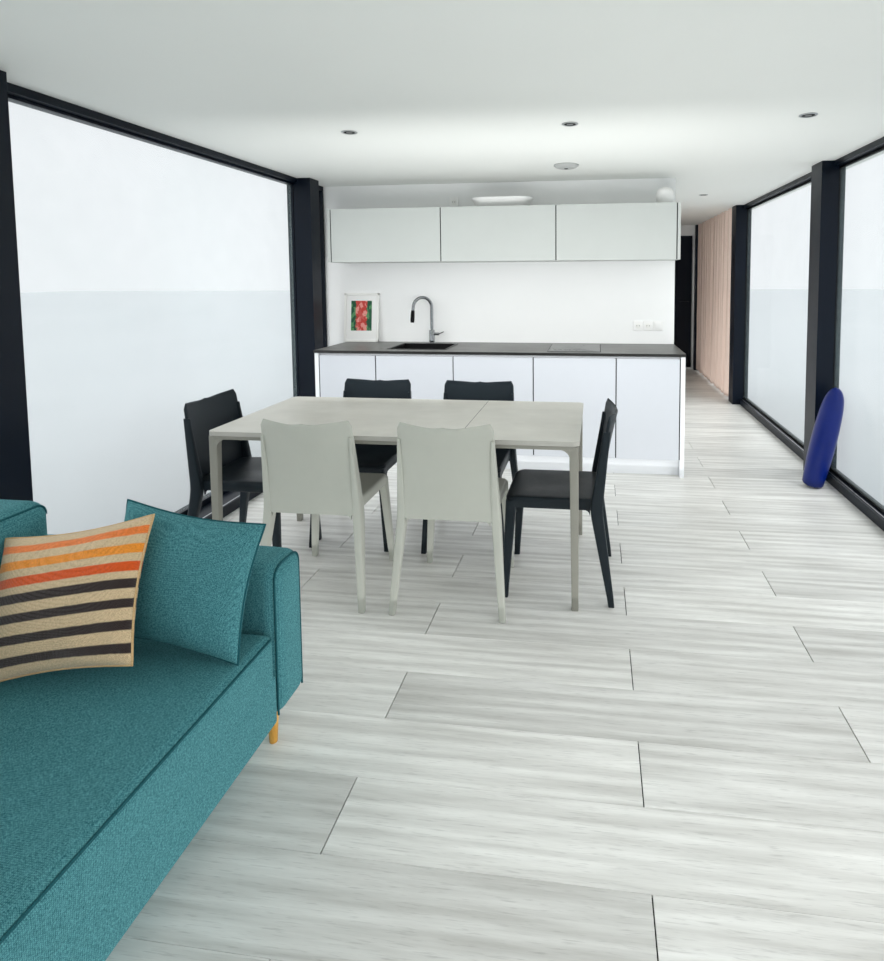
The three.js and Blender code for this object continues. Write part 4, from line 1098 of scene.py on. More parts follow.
@dataclass
class Studio:
    """Camera, soft light from three sides and inside, and a plain pale floor at the waterline."""

    eye: tuple[float, float, float] = (0.355, -4.44, 2.4015)
    yaw: float = -0.1258
    pitch: float = 0.0679
    roll: float = -0.0051
    lens: float = 22.14
    shift: tuple[float, float] = (-0.0821, -0.1693)

    def place_camera(self) -> None:
        """Turns the camera by yaw about the upright axis, pitch below the horizon and roll."""
        cy, sy, cp, sp = math.cos(self.yaw), math.sin(self.yaw), math.cos(self.pitch), math.sin(self.pitch)
        cr, sr = math.cos(self.roll), math.sin(self.roll)
        ahead = np.array([cp * sy, cp * cy, -sp])
        right = np.array([cy, -sy, 0.0])
        above = np.array([sp * sy, sp * cy, cp])
        right, above = cr * right + sr * above, -sr * right + cr * above
        data = bpy.data.cameras.new("camera")
        data.sensor_width, data.sensor_fit, data.lens = 36.0, "AUTO", self.lens
        data.shift_x, data.shift_y = self.shift
        data.clip_start, data.clip_end = 0.02, 400.0
        camera = bpy.data.objects.new("camera", data)
        axes = np.column_stack([right, above, -ahead])
        camera.matrix_world = Matrix.Translation(self.eye) @ Matrix(axes.tolist()).to_4x4()
        bpy.context.scene.collection.objects.link(camera)
        bpy.context.scene.camera = camera

    def lamp(self, name: str, kind: str, place: Sequence[float], aim: Sequence[float], power: float,
             size: tuple[float, float] = (1.0, 1.0), angle: float = 0.0) -> None:
        """Adds a large soft light that the camera and reflections don't show.

        Args:
            name: of the light.
            kind: SUN, for an even light from one side of the sky, or AREA.
            place, aim: it shines from the one towards the other.
            power: W for an area, W per square metre for a sun.
            size: of an area, in metres.
            angle: of a sun's disc, in degrees.
        """
        data = bpy.data.lights.new(name, kind)
        data.energy = power
        if kind == "SUN":
            data.angle = math.radians(angle)
        else:
            data.shape, data.size, data.size_y = "RECTANGLE", size[0], size[1]
        light = bpy.data.objects.new(name, data)
        ahead = np.asarray(aim, float) - np.asarray(place, float)
        ahead /= np.linalg.norm(ahead)
        up = np.array([0.0, 1.0, 0.0]) if abs(ahead[2]) > 0.9 else np.array([0.0, 0.0, 1.0])
        right = np.cross(ahead, up)
        right /= np.linalg.norm(right)
        axes = np.column_stack([right, np.cross(right, ahead), -ahead])
        light.matrix_world = Matrix.Translation([float(v) for v in place]) @ Matrix(axes.tolist()).to_4x4()
        light.visible_camera = False
        light.visible_glossy = False
        bpy.context.scene.collection.objects.link(light)

    def light(self) -> None:
        """A pale sky, broad suns from three sides, fills above the cabin floor and one at the galley."""
        world = bpy.data.worlds.new("studio_sky")
        bpy.context.scene.world = world
        world.use_nodes = True
        sketch = Sketch(world.node_tree)
        shown = sketch.put("LightPath").outputs["Is Camera Ray"]
        background = world.node_tree.nodes["Background"]
        strength = sketch.spread(shown, 0, 1, 1.0, 1.02)
        sketch.feed(background, {"Color": (0.94, 0.97, 1.0, 1.0), "Strength": strength})
        for name, place, power in (("starboard_sun", (6, -2, 3), 3.2), ("port_sun", (-6, -2, 3), 2.6),
                                   ("fore_sun", (0, -6, 3), 1.2)):
            self.lamp(name, "SUN", place, (0, 0, 0), power, angle=80)
        self.lamp("floor_bounce", "AREA", (0.1, -2.0, 1.02), (0.1, -2.0, 3.0), 40, (3.6, 5.6))
        self.lamp("galley_fill", "AREA", (-0.2, -1.4, 2.2), (-0.3, 0.46, 2.8), 16, (2.6, 0.5))
        self.lamp("corridor_bounce", "AREA", (1.45, 2.6, 1.02), (1.45, 2.6, 3.0), 6, (0.9, 3.6))

    def floor(self) -> None:
        """A wide pale floor at the waterline, its surface broken by the faintest ripple."""
        material, sketch, shader = start_material("studio_floor", {"Roughness": 0.55})
        place = place_of(sketch)
        tone = sketch.noise(place, 0.15, 3.0, 0.5)
        colour = sketch.blend(tone, screen(164, 168, 171), screen(178, 182, 184))
        sketch.feed(shader, {"Base Color": colour})
        ripple = sketch.noise(sketch.stretched(place, (1.5, 5, 1)), 1.0, 3.0, 0.5)
        raise_by(sketch, shader, ripple, 0.01, 0.2)
        line = np.array([-90.0, 0.0, 90.0])
        x, y = np.meshgrid(line, line, indexing="ij")
        points = np.stack([x, y, np.full_like(x, WATER_Z)], -1).reshape(-1, 3)
        mesh = bpy.data.meshes.new("stage_floor")
        mesh.from_pydata(points.tolist(), [], grid_faces(*x.shape)[:, ::-1].tolist())
        mesh.materials.append(material)
        stage = bpy.data.objects.new("stage_floor", mesh)
        bpy.context.scene.collection.objects.link(stage)

    def build(self) -> None:
        """Camera, light and floor, with plain display colours."""
        self.place_camera()
        self.light()
        self.floor()
        bpy.context.scene.view_settings.view_transform = "Standard"
        bpy.context.scene.view_settings.look = "None"


# Hull and decks


@dataclass
class Hull(Maker):
    """Two steel floats with rubbing strips, weld lines and a deck frame with mooring cleats."""

    float_half: float = 0.60
    float_x: float = 1.30
    plate: float = 1.2
    cleat_x: float = 1.80
    cleat_y: float = 5.50

    def strakes(self) -> None:
        """A half-round rubbing strip along each float's outer side, carried along a straight path."""
        skin = Skin()
        turn = np.linspace(-np.pi / 2, np.pi / 2, 9)
        bow = np.stack([0.022 * np.cos(turn), 0.026 * np.sin(turn)], 1)
        for hand in (-1, 1):
            x = hand * (self.float_x + self.float_half)
            path = np.stack([np.full(24, x), np.linspace(-5.3, 5.3, 24), np.full(24, 0.62)], 1)
            if hand < 0:
                path = path[::-1]
            skin.add(carry_along(path, bow, (0, 0, 1)))
        self.piece("rubbing_strips", skin, ["rubber"], "hull", crease=Crease.ROUND)

    def welds(self) -> None:
        """Thin upright weld beads where the plates meet, small half-round bars on the float sides."""
        skin = Skin()
        bead = circle(0.004, 6)
        seams = np.arange(-4.8, 4.81, self.plate)
        for hand in (-1, 1):
            for side in (-1, 1):
                x = hand * self.float_x + side * (self.float_half + 0.0015)
                for y in seams:
                    path = np.stack([np.full(5, x), np.full(5, y), np.linspace(0.08, 0.70, 5)], 1)
                    skin.add(carry_along(path, bead, (0, 1, 0)))
        self.piece("hull_welds", skin, ["hull"], "hull", crease=Crease.ROUND)

    def cleats(self) -> None:
        """Horn cleats on the deck corners: a bar carried along a shallow arch on two short posts."""
        skin = Skin()
        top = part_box("fore_deck")[1][2]
        t = np.linspace(-1, 1, 15)
        thin = 1 - 0.45 * np.abs(t) ** 1.5
        for x in (-self.cleat_x, self.cleat_x):
            for y in (-self.cleat_y, self.cleat_y):
                path = np.stack([np.full_like(t, x), y + 0.11 * t, top + 0.058 + 0.010 * t * t], 1)
                skin.add(carry_along(path, circle(0.012, 10), (1, 0, 0), np.stack([thin, thin], 1)))
                for dy in (-0.035, 0.035):
                    skin.add(carried_round((0.013, 0.013), 0.012, [(0, 0.0), (0, 0.045), (0.003, 0.052)],
                                           (x, y + dy, top), 3))
                skin.add(carried_round((0.03, 0.075), 0.02, [(0, 0.0005), (0, 0.005), (0.002, 0.007)],
                                       (x, y, top), 4))
        self.piece("mooring_cleats", skin, ["rail"], "rail_steel", crease=Crease.ROUND)

    def build(self) -> None:
        """Dresses the floats and adds what is fixed to them."""
        self.dress("hull", "float_port", "float_starboard")
        self.dress("steel", "deck_frame")
        self.strakes()
        self.welds()
        self.cleats()


@dataclass
class EndDecks(Maker):
    """Boarded decks at both ends, with steel rails round them."""

    gap: float = 0.008
    boards: int = 8
    thick: float = 0.028
    joists: int = 7
    house_end: float = 5.165
    gate_half: float = 0.45
    tube: float = 0.021
    heights: tuple[float, float] = (0.52, 0.96)

    def deck(self, name: str) -> None:
        """Chamfered boards across the boat on steel joists, with two screws where they cross."""
        low, high = (np.array(v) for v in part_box(name))
        pitch = (high[1] - low[1] + self.gap) / self.boards
        start = low[1] + pitch * np.arange(self.boards)
        lows = np.stack([np.full(self.boards, low[0]), start, np.full(self.boards, high[2] - self.thick)], 1)
        highs = np.stack([np.full(self.boards, high[0]), start + pitch - self.gap,
                          np.full(self.boards, high[2])], 1)
        tone = np.repeat(np.random.default_rng(SEED + len(name)).random(self.boards), 12)
        skin = Skin().add(boards(lows, highs, 0.003), 0, tone)
        joists = np.linspace(low[0] + 0.12, high[0] - 0.12, self.joists)
        under = high[2] - self.thick - 0.0005
        lows = np.stack([joists - 0.022, np.full_like(joists, low[1] + 0.002),
                         np.full_like(joists, low[2])], 1)
        highs = np.stack([joists + 0.022, np.full_like(joists, high[1] - 0.002),
                          np.full_like(joists, under)], 1)
        skin.add(boards(lows, highs, 0.001), 1)
        x, y = (a.ravel() for a in np.meshgrid(joists, start + pitch / 2, indexing="ij"))
        x, y = np.tile(x, 2), np.concatenate([y - 0.035, y + 0.035])
        size = np.array([0.004, 0.004, 0.0])
        spots = np.stack([x, y, np.full_like(x, high[2])], 1)
        skin.add(boards(spots - size - [0, 0, 0.002], spots + size + [0, 0, 0.0006], 0.0004), 2)
        self.piece(f"{name}_boards", skin, ["decking", "steel", "brushed"], "decking", stands_for=[name])

    def rail(self, name: str, end: int) -> None:
        """Round tubes with bends: top and middle runs, posts with base plates, and closing gate posts.

        Args:
            name: the CAD rail that this stands for.
            end: -1 at the fore deck, 1 at the aft one.
        """
        low, high = (np.array(v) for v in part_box(name))
        x, near = high[0] - self.tube, self.house_end + self.tube
        far = max(abs(low[1]), abs(high[1])) - self.tube
        base, gate = low[2], self.gate_half + self.tube
        skin = Skin()
        ring = circle(self.tube, 12)
        thin = circle(self.tube * 0.62, 10)
        for hand in (-1, 1):
            top = base + self.heights[1] - self.tube
            run = np.array([(hand * x, end * near, base), (hand * x, end * near, top),
                            (hand * x, end * far, top), (hand * gate, end * far, top),
                            (hand * gate, end * far, base)])
            halves = [run[0], (run[1] + run[2]) / 2, (run[2] + run[3]) / 2, run[4]]
            for k, up in enumerate(((1, 0, 0), (0, 0, 1), (0, 1, 0))):
                path = bent_path([halves[k], run[k + 1], halves[k + 1]], 0.07)
                skin.add(carry_along(path, ring, up))
            level = base + self.heights[0] - self.tube
            corner = (hand * x, end * far, level)
            path = bent_path([(hand * x, end * near, level), corner, (hand * gate, end * far, level)], 0.06)
            skin.add(carry_along(path, thin, (0, 0, 1)))
            posts = [(hand * x, end * far), (hand * x, end * (near + far) / 2),
                     (hand * (x + gate) / 2, end * far)]
            for px, py in posts:
                path = np.stack([np.full(4, px), np.full(4, py), np.linspace(base, top - 0.004, 4)], 1)
                skin.add(carry_along(path, ring, (1, 0, 0)))
            for px, py in posts + [(hand * x, end * near), (hand * gate, end * far)]:
                skin.add(carried_round((0.034, 0.034), 0.012, [(0, 0), (0, 0.006), (0.002, 0.008)],
                                       (px, py, base), 3))
        self.piece(f"{name}_tubes", skin, ["rail"], "rail_steel", stands_for=[name], crease=Crease.ROUND)

    def build(self) -> None:
        """Both decks and both rails."""
        for name, end in (("fore", -1), ("aft", 1)):
            self.deck(f"{name}_deck")
            self.rail(f"{name}_rail", end)


@dataclass
class CabinFloor(Maker):
    """Wide grey-washed planks across the cabin on a dark underlay."""

    plank: tuple[float, float] = (1.495, 0.231)
    row_start: float = -3.125
    joints: tuple[float, float] = (-0.326, 0.491)
    butt: float = 0.0034
    seam: float = 0.0007
    depth: float = 0.008

    def build(self) -> None:
        """Cuts whole rows into planks whose butt joints change over from row to row."""
        low, high = (np.array(v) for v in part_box("cabin_floor"))
        length, width = self.plank
        rows = np.arange(math.floor((low[1] - self.row_start) / width),
                         math.ceil((high[1] - self.row_start) / width))
        steps = np.arange(-4, 4)
        row, step = (a.ravel() for a in np.meshgrid(rows, steps, indexing="ij"))
        start = np.where(row % 2 == 0, self.joints[0], self.joints[1]) + step * length
        x0, x1 = np.maximum(start, low[0]), np.minimum(start + length, high[0])
        y0 = np.maximum(self.row_start + row * width, low[1])
        y1 = np.minimum(self.row_start + (row + 1) * width, high[1])
        keep = (x1 - x0 > 0.02) & (y1 - y0 > 0.01)
        x0, x1, y0, y1 = (v[keep] for v in (x0, x1, y0, y1))
        half_butt, half_seam = self.butt / 2, self.seam / 2
        lows = np.stack([x0 + half_butt, y0 + half_seam, np.full_like(x0, high[2] - self.depth)], 1)
        highs = np.stack([x1 - half_butt, y1 - half_seam, np.full_like(x0, high[2])], 1)
        tone = np.repeat(np.random.default_rng(SEED).random(len(x0)), 12)
        skin = Skin().add(boards(lows, highs, 0.0006), 0, tone)
        skin.add(soft_box(low, [high[0], high[1], high[2] - self.depth - 0.0004], 0.002, 1), 1)
        self.piece("cabin_planks", skin, ["planks", "rubber"], "floor_planks", stands_for=["cabin_floor"],
                   crease=Crease.FLAT)


# Deckhouse


@dataclass
class Glazing(Maker):
    """Anthracite frames and posts, clear panes with seals, aluminium tracks and door handles."""

    seal: float = 0.008


    def seals(self) -> None:
        """Black seal strips round every fixed pane, each a narrow bar along the pane's four edges."""
        skin = Skin()
        panes = ["starboard_glass_1", "starboard_glass_2", "starboard_glass_3", "starboard_glass_4",
                 "port_glass_1", "port_glass_2", "front_glass", "port_window_1", "port_window_2"]
        for name in panes:
            low, high = (np.array(v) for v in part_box(name))
            thin = int(np.argmin(high - low))
            a, b = (k for k in range(3) if k != thin)
            near, far = low + self.seal, high - self.seal
            corners = np.tile((low + high) / 2, (4, 1))
            corners[:, a] = near[a], far[a], far[a], near[a]
            corners[:, b] = near[b], near[b], far[b], far[b]
            bar = round_section(self.seal, (high - low)[thin] / 2 + 0.004, 0.002, 1)
            for k in range(4):
                line = np.linspace(corners[k], corners[(k + 1) % 4], 3)
                skin.add(carry_along(line, bar, np.eye(3)[thin]))
        self.piece("pane_seals", skin, ["rubber"], "frame_steel", crease=Crease.CRISP)

    def tracks(self) -> None:
        """Bright aluminium strips let into the sills, three millimetres proud."""
        skin = Skin()
        starboard = ((-4.87, -2.605), (-2.395, -0.105), (0.105, 2.395), (2.605, 4.87))
        port = ((-4.87, -2.605), (-2.395, 0.0))
        bottom, top = FLOOR_Z + 0.0632, FLOOR_Z + 0.0662
        for x, bays in ((1.990, starboard), (-1.895, port)):
            for y0, y1 in bays:
                skin.add(soft_box((x, y0, bottom), (x + 0.008, y1, top), 0.001, 1))
        self.piece("track_strips", skin, ["brushed"], "frame_steel")

    def handle(self, name: str, body: str, foot: Sequence[float], out: Sequence[float],
               length: float) -> None:
        """An upright bar handle: a tube that bends from the leaf, runs down and bends back."""
        foot, out = np.asarray(foot, float), np.asarray(out, float)
        down = np.array([0, 0, -length])
        path = bent_path([foot, foot + out, foot + out + down, foot + down], 0.02)
        skin = Skin().add(carry_along(path, circle(0.008, 10), np.cross(out, down)))
        spread = np.abs(np.cross([0, 0, 1], out) / np.linalg.norm(out)) * 0.014 + np.array([0, 0, 0.02])
        for end in (foot, foot + down):
            plate = spread + 0.0015 * np.abs(out) / np.linalg.norm(out)
            skin.add(soft_box(end - plate, end + plate, 0.0014, 1))
        self.piece(name, skin, ["brushed"], "frame_steel", body, crease=Crease.ROUND)

    def build(self) -> None:
        """Dresses the frames, leaves and panes, and adds the trim."""
        self.dress("anthracite", "port_frame", "starboard_frame", "front_frame", "port_door", "front_door")
        self.dress("glass", "port_glass_1", "port_glass_2", "port_door_glass", "port_window_1",
                   "port_window_2", "starboard_glass_1", "starboard_glass_2", "starboard_glass_3",
                   "starboard_glass_4", "front_glass", "front_door_glass")
        self.seals()
        self.tracks()
        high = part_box("port_door")[1]
        pan = carried_round((0.014, 0.085), 0.0139, [(0, 0), (0, 0.0012), (0.001, 0.002), (0.004, 0.002),
                                                     (0.0055, 0.0006)], steps=5)
        place = np.array([high[0] + 0.0002, high[1] - 0.03, FLOOR_Z + 1.1])
        self.piece("port_door_pull", Skin().add(Shell(pan.points[:, [2, 0, 1]] + place, pan.groups)),
                   ["brushed"], "frame_steel", "port_slider", crease=Crease.CRISP)
        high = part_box("front_door")[1]
        self.handle("front_door_handle", "front_slider", (high[0] - 0.03, high[1] + 0.001, FLOOR_Z + 1.2),
                    (0, 0.035, 0), 0.28)


@dataclass
class Ceiling(Maker):
    """Recessed spotlights, the smoke alarm and the roof's edge trim."""

    spots: tuple[tuple[float, float], ...] = (
        (-0.967, -1.33), (0.2215, -1.33), (1.386, -1.33), (1.384, 1.505), (-0.967, -3.83),
        (0.2215, -3.83), (1.386, -3.83))
    alarm: tuple[float, float] = (0.147, -0.217)

    def build(self) -> None:
        """Each fitting is a profile carried round a circle, from the ceiling down."""
        self.dress("ceiling", "roof")
        skin = Skin()
        for x, y in self.spots:
            at = (x, y, CEILING_Z)
            skin.add(turned(0.043, [(0.0, -0.0006), (0.0, -0.0025), (0.0025, -0.0045), (0.009, -0.0045),
                                    (0.012, -0.0035), (0.012, -0.0006)], at, 5), 0)
            skin.add(turned(0.03, [(0.0, -0.0006), (0.0, -0.0022), (0.002, -0.0028)], at, 5), 1)
            skin.add(turned(0.017, [(0.0, -0.0029), (0.0, -0.0036), (0.006, -0.005)], at, 5), 2)
        self.piece("ceiling_spots", skin, ["brushed", "shadow", "lamp"], "roof_panel", crease=Crease.CRISP)
        at = (*self.alarm, CEILING_Z)
        skin = Skin().add(turned(0.088, [
            (0.0, -0.0006), (0.0, -0.008), (0.004, -0.010), (0.007, -0.010), (0.009, -0.013),
            (0.016, -0.019), (0.03, -0.024), (0.055, -0.026), (0.08, -0.0265)], at, 7), 0)
        skin.add(turned(0.014, [(0.0, -0.026), (0.0, -0.028), (0.002, -0.029)], at, 4), 1)
        # the body's grey is painted shade on white plastic
        self.piece("smoke_alarm", skin, ["alarm", "shadow"], "roof_panel", crease=Crease.CRISP)
        low, high = (np.array(v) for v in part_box("roof"))
        trim, drip = Skin(), 0.004
        for axis, hand in ((0, -1), (0, 1), (1, -1), (1, 1)):
            a, b = low.copy(), high.copy()
            a[2], b[2] = high[2] - 0.07, high[2] - 0.012
            edge = (low, high)[hand > 0][axis]
            a[axis], b[axis] = sorted((edge - hand * 0.001, edge + hand * drip))
            trim.add(soft_box(a, b, 0.0018, 1))
        self.piece("roof_edge_trim", trim, ["anthracite"], "roof_panel")


@dataclass
class AftHouse(Maker):
    """Boarded outer walls of the closed aft rooms, plain inner walls and the stern door."""

    board: float = 0.132
    gap: float = 0.006
    thick: float = 0.018
    windows: tuple[tuple[float, float], ...] = ((1.300, 2.300), (3.300, 4.300))
    sill: float = FLOOR_Z + 1.150
    head: float = FLOOR_Z + 1.950
    door_face: float = 4.9995
    door_panel: tuple[float, float] = (1.12, 1.62)

    def cladding(self) -> None:
        """Horizontal boards along the port side, cut round two windows, on a backing in the carcass finish.

        A course clear of the windows is one board. One that meets them is cut at their sides, with
        what is left of it over and under them filled by narrower boards.
        """
        low, high = (np.array(v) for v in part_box("port_aft_wall"))
        courses = int((high[2] - low[2]) / self.board)
        pitch = (high[2] - low[2]) / courses
        z0 = low[2] + pitch * np.arange(courses)
        sill, head, windows = self.sill, self.head, self.windows
        across = (z0 + pitch > sill) & (z0 < head)
        out = low[0]
        edges = [low[1], *(v for pair in windows for v in pair), high[1]]
        stretches = [(edges[k], edges[k + 1]) for k in range(0, len(edges), 2)]
        spans = [(low[1], high[1], z, z + pitch) for z in z0[~across]]
        for z in z0[across]:
            spans += [(a, b, z, z + pitch) for a, b in stretches]
            spans += [(a, b, bottom, top) for a, b in windows
                      for bottom, top in ((z, min(z + pitch, sill)), (max(z, head), z + pitch))
                      if top - bottom > 0.02]
        start, end, bottom, top = np.array(spans).T
        lows = np.stack([np.full_like(start, out), start, bottom + self.gap / 2], 1)
        highs = np.stack([np.full_like(start, out + self.thick), end, top - self.gap / 2], 1)
        tone = np.repeat(np.random.default_rng(SEED + 3).random(len(lows)), 12)
        skin = Skin().add(boards(lows, highs, 0.003, 0, -1), 0, tone)
        solid = Skin()
        near, far = out + self.thick + 0.0002, high[0]
        for a, b in stretches:
            solid.add(soft_box((near, a, low[2]), (far, b, high[2]), 0.001, 1))
        for a, b in windows:
            solid.add(soft_box((near, a - 0.001, low[2]), (far, b + 0.001, sill), 0.001, 1))
            solid.add(soft_box((near, a - 0.001, head), (far, b + 0.001, high[2]), 0.001, 1))
        self.piece("port_cladding", skin, ["cladding"], "cladding")
        self.piece("port_wall_core", solid, ["carcass"], "cladding", stands_for=["port_aft_wall"])
        trim = Skin()
        for a, b in windows:
            corners = np.array([(a, sill), (b, sill), (b, head), (a, head)])
            for k in range(4):
                start, end = corners[k], corners[(k + 1) % 4]
                grow = 0.02 * np.sign(end - start)
                line = np.linspace(start - grow, end + grow, 3)
                path = np.column_stack([np.full(3, out + 0.002), line])
                trim.add(carry_along(path, round_section(0.02, 0.008, 0.003, 1), (1, 0, 0)))
        self.piece("window_trim", trim, ["anthracite"], "frame_steel")

    def door(self) -> None:
        """Dresses the stern door and adds two raised panels to its inner face."""
        self.dress("anthracite", "aft_door")
        skin, (x0, x1), y = Skin(), self.door_panel, self.door_face
        for z0, z1 in ((0.15, 0.95), (1.15, 1.95)):
            skin.add(soft_box((x0, y - 0.0065, FLOOR_Z + z0), (x1, y, FLOOR_Z + z1), 0.003, 2))
        self.piece("stern_door_panels", skin, ["anthracite"], "frame_steel", "stern_door")

    def build(self) -> None:
        """Walls, boards and door."""
        self.dress("wall", "galley_wall", "corridor_wall", "aft_wall")
        self.cladding()
        self.door()


# Galley


@dataclass
class Galley(Maker):
    """White base units under a dark worktop, grey wall units, sink, tap, hob and small things."""

    seams: tuple[float, ...] = (-1.746, -1.296, -0.696, -0.096, 0.504, 0.954)
    flap_seams: tuple[float, ...] = (-1.746, -0.846, 0.054, 0.954)
    sink: tuple[float, float] = (-1.005, 0.126)
    hob: tuple[float, float] = (0.199, 0.123)
    foot: tuple[float, float] = (-1.014, 0.396)
    worktop: float = FLOOR_Z + 0.896
    sink_depth: float = 0.190

    def fronts(self) -> None:
        """Dresses the fronts, and puts dark strips in their joints and under the worktop."""
        names = [f"base_front_{k}" for k in range(1, 6)]
        self.dress("fronts", *names)
        self.dress("carcass", "base_carcass")
        self.dress("flaps", "wall_carcass", "flap_1", "flap_2", "flap_3")
        skin = Skin()
        base = (self.seams, -0.1685, -0.1482, 0.13, 0.857)
        wall = (self.flap_seams, 0.091, 0.1108, 1.573, 1.99)
        for seams, y0, y1, z0, z1 in (base, wall):
            for x in seams:
                skin.add(soft_box((x - 0.0034, y0, FLOOR_Z + z0), (x + 0.0034, y1, FLOOR_Z + z1), 0.0004, 1))
        skin.add(soft_box((self.seams[0], -0.147, FLOOR_Z + 0.8595),
                          (self.seams[-1], -0.140, FLOOR_Z + 0.8755), 0.001, 1))
        self.piece("galley_shadow_gaps", skin, ["shadow"], "worktop")

    def basin(self) -> None:
        """Dresses the worktop and the sink, and adds its drain of two turned profiles."""
        self.dress("worktop", "worktop")
        self.dress("sink", "sink")
        at = (*self.sink, self.worktop - self.sink_depth)
        skin = Skin().add(turned(0.055, [
            (0.0, 0.0004), (0.0, 0.002), (0.004, 0.004), (0.012, 0.004), (0.016, 0.0015),
            (0.05, 0.0012)], at))
        skin.add(turned(0.026, [(0.0, 0.002), (0.0, 0.006), (0.004, 0.008)], at, 5))
        self.piece("sink_drain", skin, ["brushed"], "chrome", crease=Crease.ROUND)

    def tap(self) -> None:
        """Pull-out tap: a foot, a column, a side lever, and a spout along an arch to a black spray."""
        x, y = self.foot
        base = self.worktop
        aim = np.array([-0.72, -0.69, 0.0])
        rise, reach, drop = 0.300, 0.170, 0.070

        def out(run: Array) -> Array:
            return np.array([x, y, base]) + run[:, :1] * aim + run[:, 1:] * np.array([0, 0, 1.0])

        skin = Skin()
        skin.add(turned(0.0265, [(0.0, 0.0006), (0.0, 0.004), (0.0025, 0.006)], (x, y, base)), 0)
        skin.add(turned(0.024, [(0.0, 0.005), (0.0, 0.105), (0.003, 0.110)], (x, y, base)), 0)
        turn = np.linspace(np.pi, 0, 17)
        arch = np.stack([reach / 2 * (1 + np.cos(turn)), rise + 0.085 * np.sin(turn)], 1)
        run = np.concatenate([[[0, 0.10], [0, 0.2]], arch, [[reach + 0.004, rise - 0.03]]])
        across = np.cross(aim, [0, 0, 1.0])
        skin.add(carry_along(out(run), circle(0.0135, 14), across), 0)
        run = np.array([[reach + 0.003, rise - 0.02], [reach + 0.006, rise - 0.05],
                        [reach + 0.009, rise - drop - 0.03], [reach + 0.010, rise - drop - 0.05]])
        wide = np.array([1.0, 1.12, 1.18, 1.0])
        skin.add(carry_along(out(run), circle(0.0145, 14), across, np.stack([wide, wide], 1)), 1)
        path = np.array([[0.018, 0, 0.075], [0.05, 0, 0.075], [0.062, 0, 0.075]]) + [x, y, base]
        skin.add(carry_along(path, circle(0.0115, 12), (0, 0, 1)), 0)
        path = np.array([[0.058, 0, 0.076], [0.075, -0.004, 0.082], [0.104, -0.010, 0.095]]) + [x, y, base]
        skin.add(carry_along(path, round_section(0.007, 0.004, 0.0035, 2), (0, 0, 1)), 0)
        self.piece("kitchen_tap", skin, ["chrome", "rubber"], "chrome", stands_for=["tap"],
                   crease=Crease.ROUND)

    def cooktop(self) -> None:
        """Flush glass hob with a ground edge and two thin cooking rings."""
        x, y = self.hob
        top = self.worktop
        skin = Skin()
        skin.add(carried_round((0.196, 0.251), 0.012, [(0.0, 0.0004), (0.0, 0.0012), (0.0016, 0.0024)],
                               (x, y, top), 4), 1)
        skin.add(carried_round((0.192, 0.247), 0.010, [(0.0, 0.0014), (0.0, 0.0026), (0.001, 0.0030)],
                               (x, y, top), 4), 0)
        for dx, dy, r in ((0.0, -0.115, 0.088), (0.0, 0.115, 0.074)):
            skin.add(turned(r, [(0.0, 0.0028), (0.0, 0.0032), (0.0016, 0.0032), (0.0016, 0.0028)],
                            (x + dx, y + dy, top), 8), 2)
        self.piece("induction_hob", skin, ["hob", "rubber", "lamp"], "sink_black")

    def socket(self, skin: Skin, x: float, face: float, z: float, well: bool) -> None:
        """A wall plate of 80 mm with a round well and two pins, or else a plain rocker."""
        skin.add(soft_box((x - 0.0395, face - 0.0105, z - 0.0395), (x + 0.0395, face - 0.0005, z + 0.0395),
                          0.004, 2), 0)
        if well:
            ring = turned(0.0215, [(0.0, 0.0), (0.0, 0.0020), (0.0015, 0.0028)], steps=5)
            turn = ring.points[:, [0, 2, 1]] * [1, -1, 1]
            skin.add(Shell(turn + [x, face - 0.0104, z], ring.groups), 1)
            for dx in (-0.0095, 0.0095):
                skin.add(soft_box((x + dx - 0.0028, face - 0.0142, z - 0.0028),
                                  (x + dx + 0.0028, face - 0.0128, z + 0.0028), 0.001, 1), 2)
        else:
            skin.add(soft_box((x - 0.027, face - 0.0135, z - 0.027), (x + 0.027, face - 0.0103, z + 0.027),
                              0.0015, 1), 0)

    def small_things(self) -> None:
        """Sockets on the splashback and above the wall units, and the tray and jar that stand there."""
        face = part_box("galley_wall")[0][1]
        skin = Skin()
        for k, x in enumerate((0.700, 0.780, 0.860)):
            self.socket(skin, x, face, FLOOR_Z + 1.045, k < 2)
        self.socket(skin, -0.824, face, FLOOR_Z + 2.075, True)
        self.piece("wall_sockets", skin, ["white_plastic", "frame_white", "shadow"], "wall_white",
                   crease=Crease.CRISP)
        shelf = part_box("wall_carcass")[1][2] + 0.0004
        tray = Skin().add(carried_round((0.245, 0.13), 0.12, [
            (0.06, 0.003), (0.05, 0.0), (0.04, 0.002), (0.012, 0.062), (0.0, 0.076), (0.001, 0.080),
            (0.014, 0.070), (0.045, 0.008), (0.07, 0.006)], (-0.385, 0.28, shelf), 8))
        self.piece("serving_tray", tray, ["white_plastic"], "front_white", crease=Crease.ROUND)
        jar = Skin().add(turned(0.07, [
            (0.04, 0.0), (0.03, 0.002), (0.008, 0.03), (0.0, 0.065), (0.004, 0.10), (0.022, 0.128),
            (0.05, 0.139), (0.066, 0.141)], (0.885, 0.28, shelf), 8))
        self.piece("storage_jar", jar, ["white_plastic"], "front_white", crease=Crease.ROUND)

    def build(self) -> None:
        """Every part of the galley."""
        self.fronts()
        self.basin()
        self.tap()
        self.cooktop()
        self.small_things()


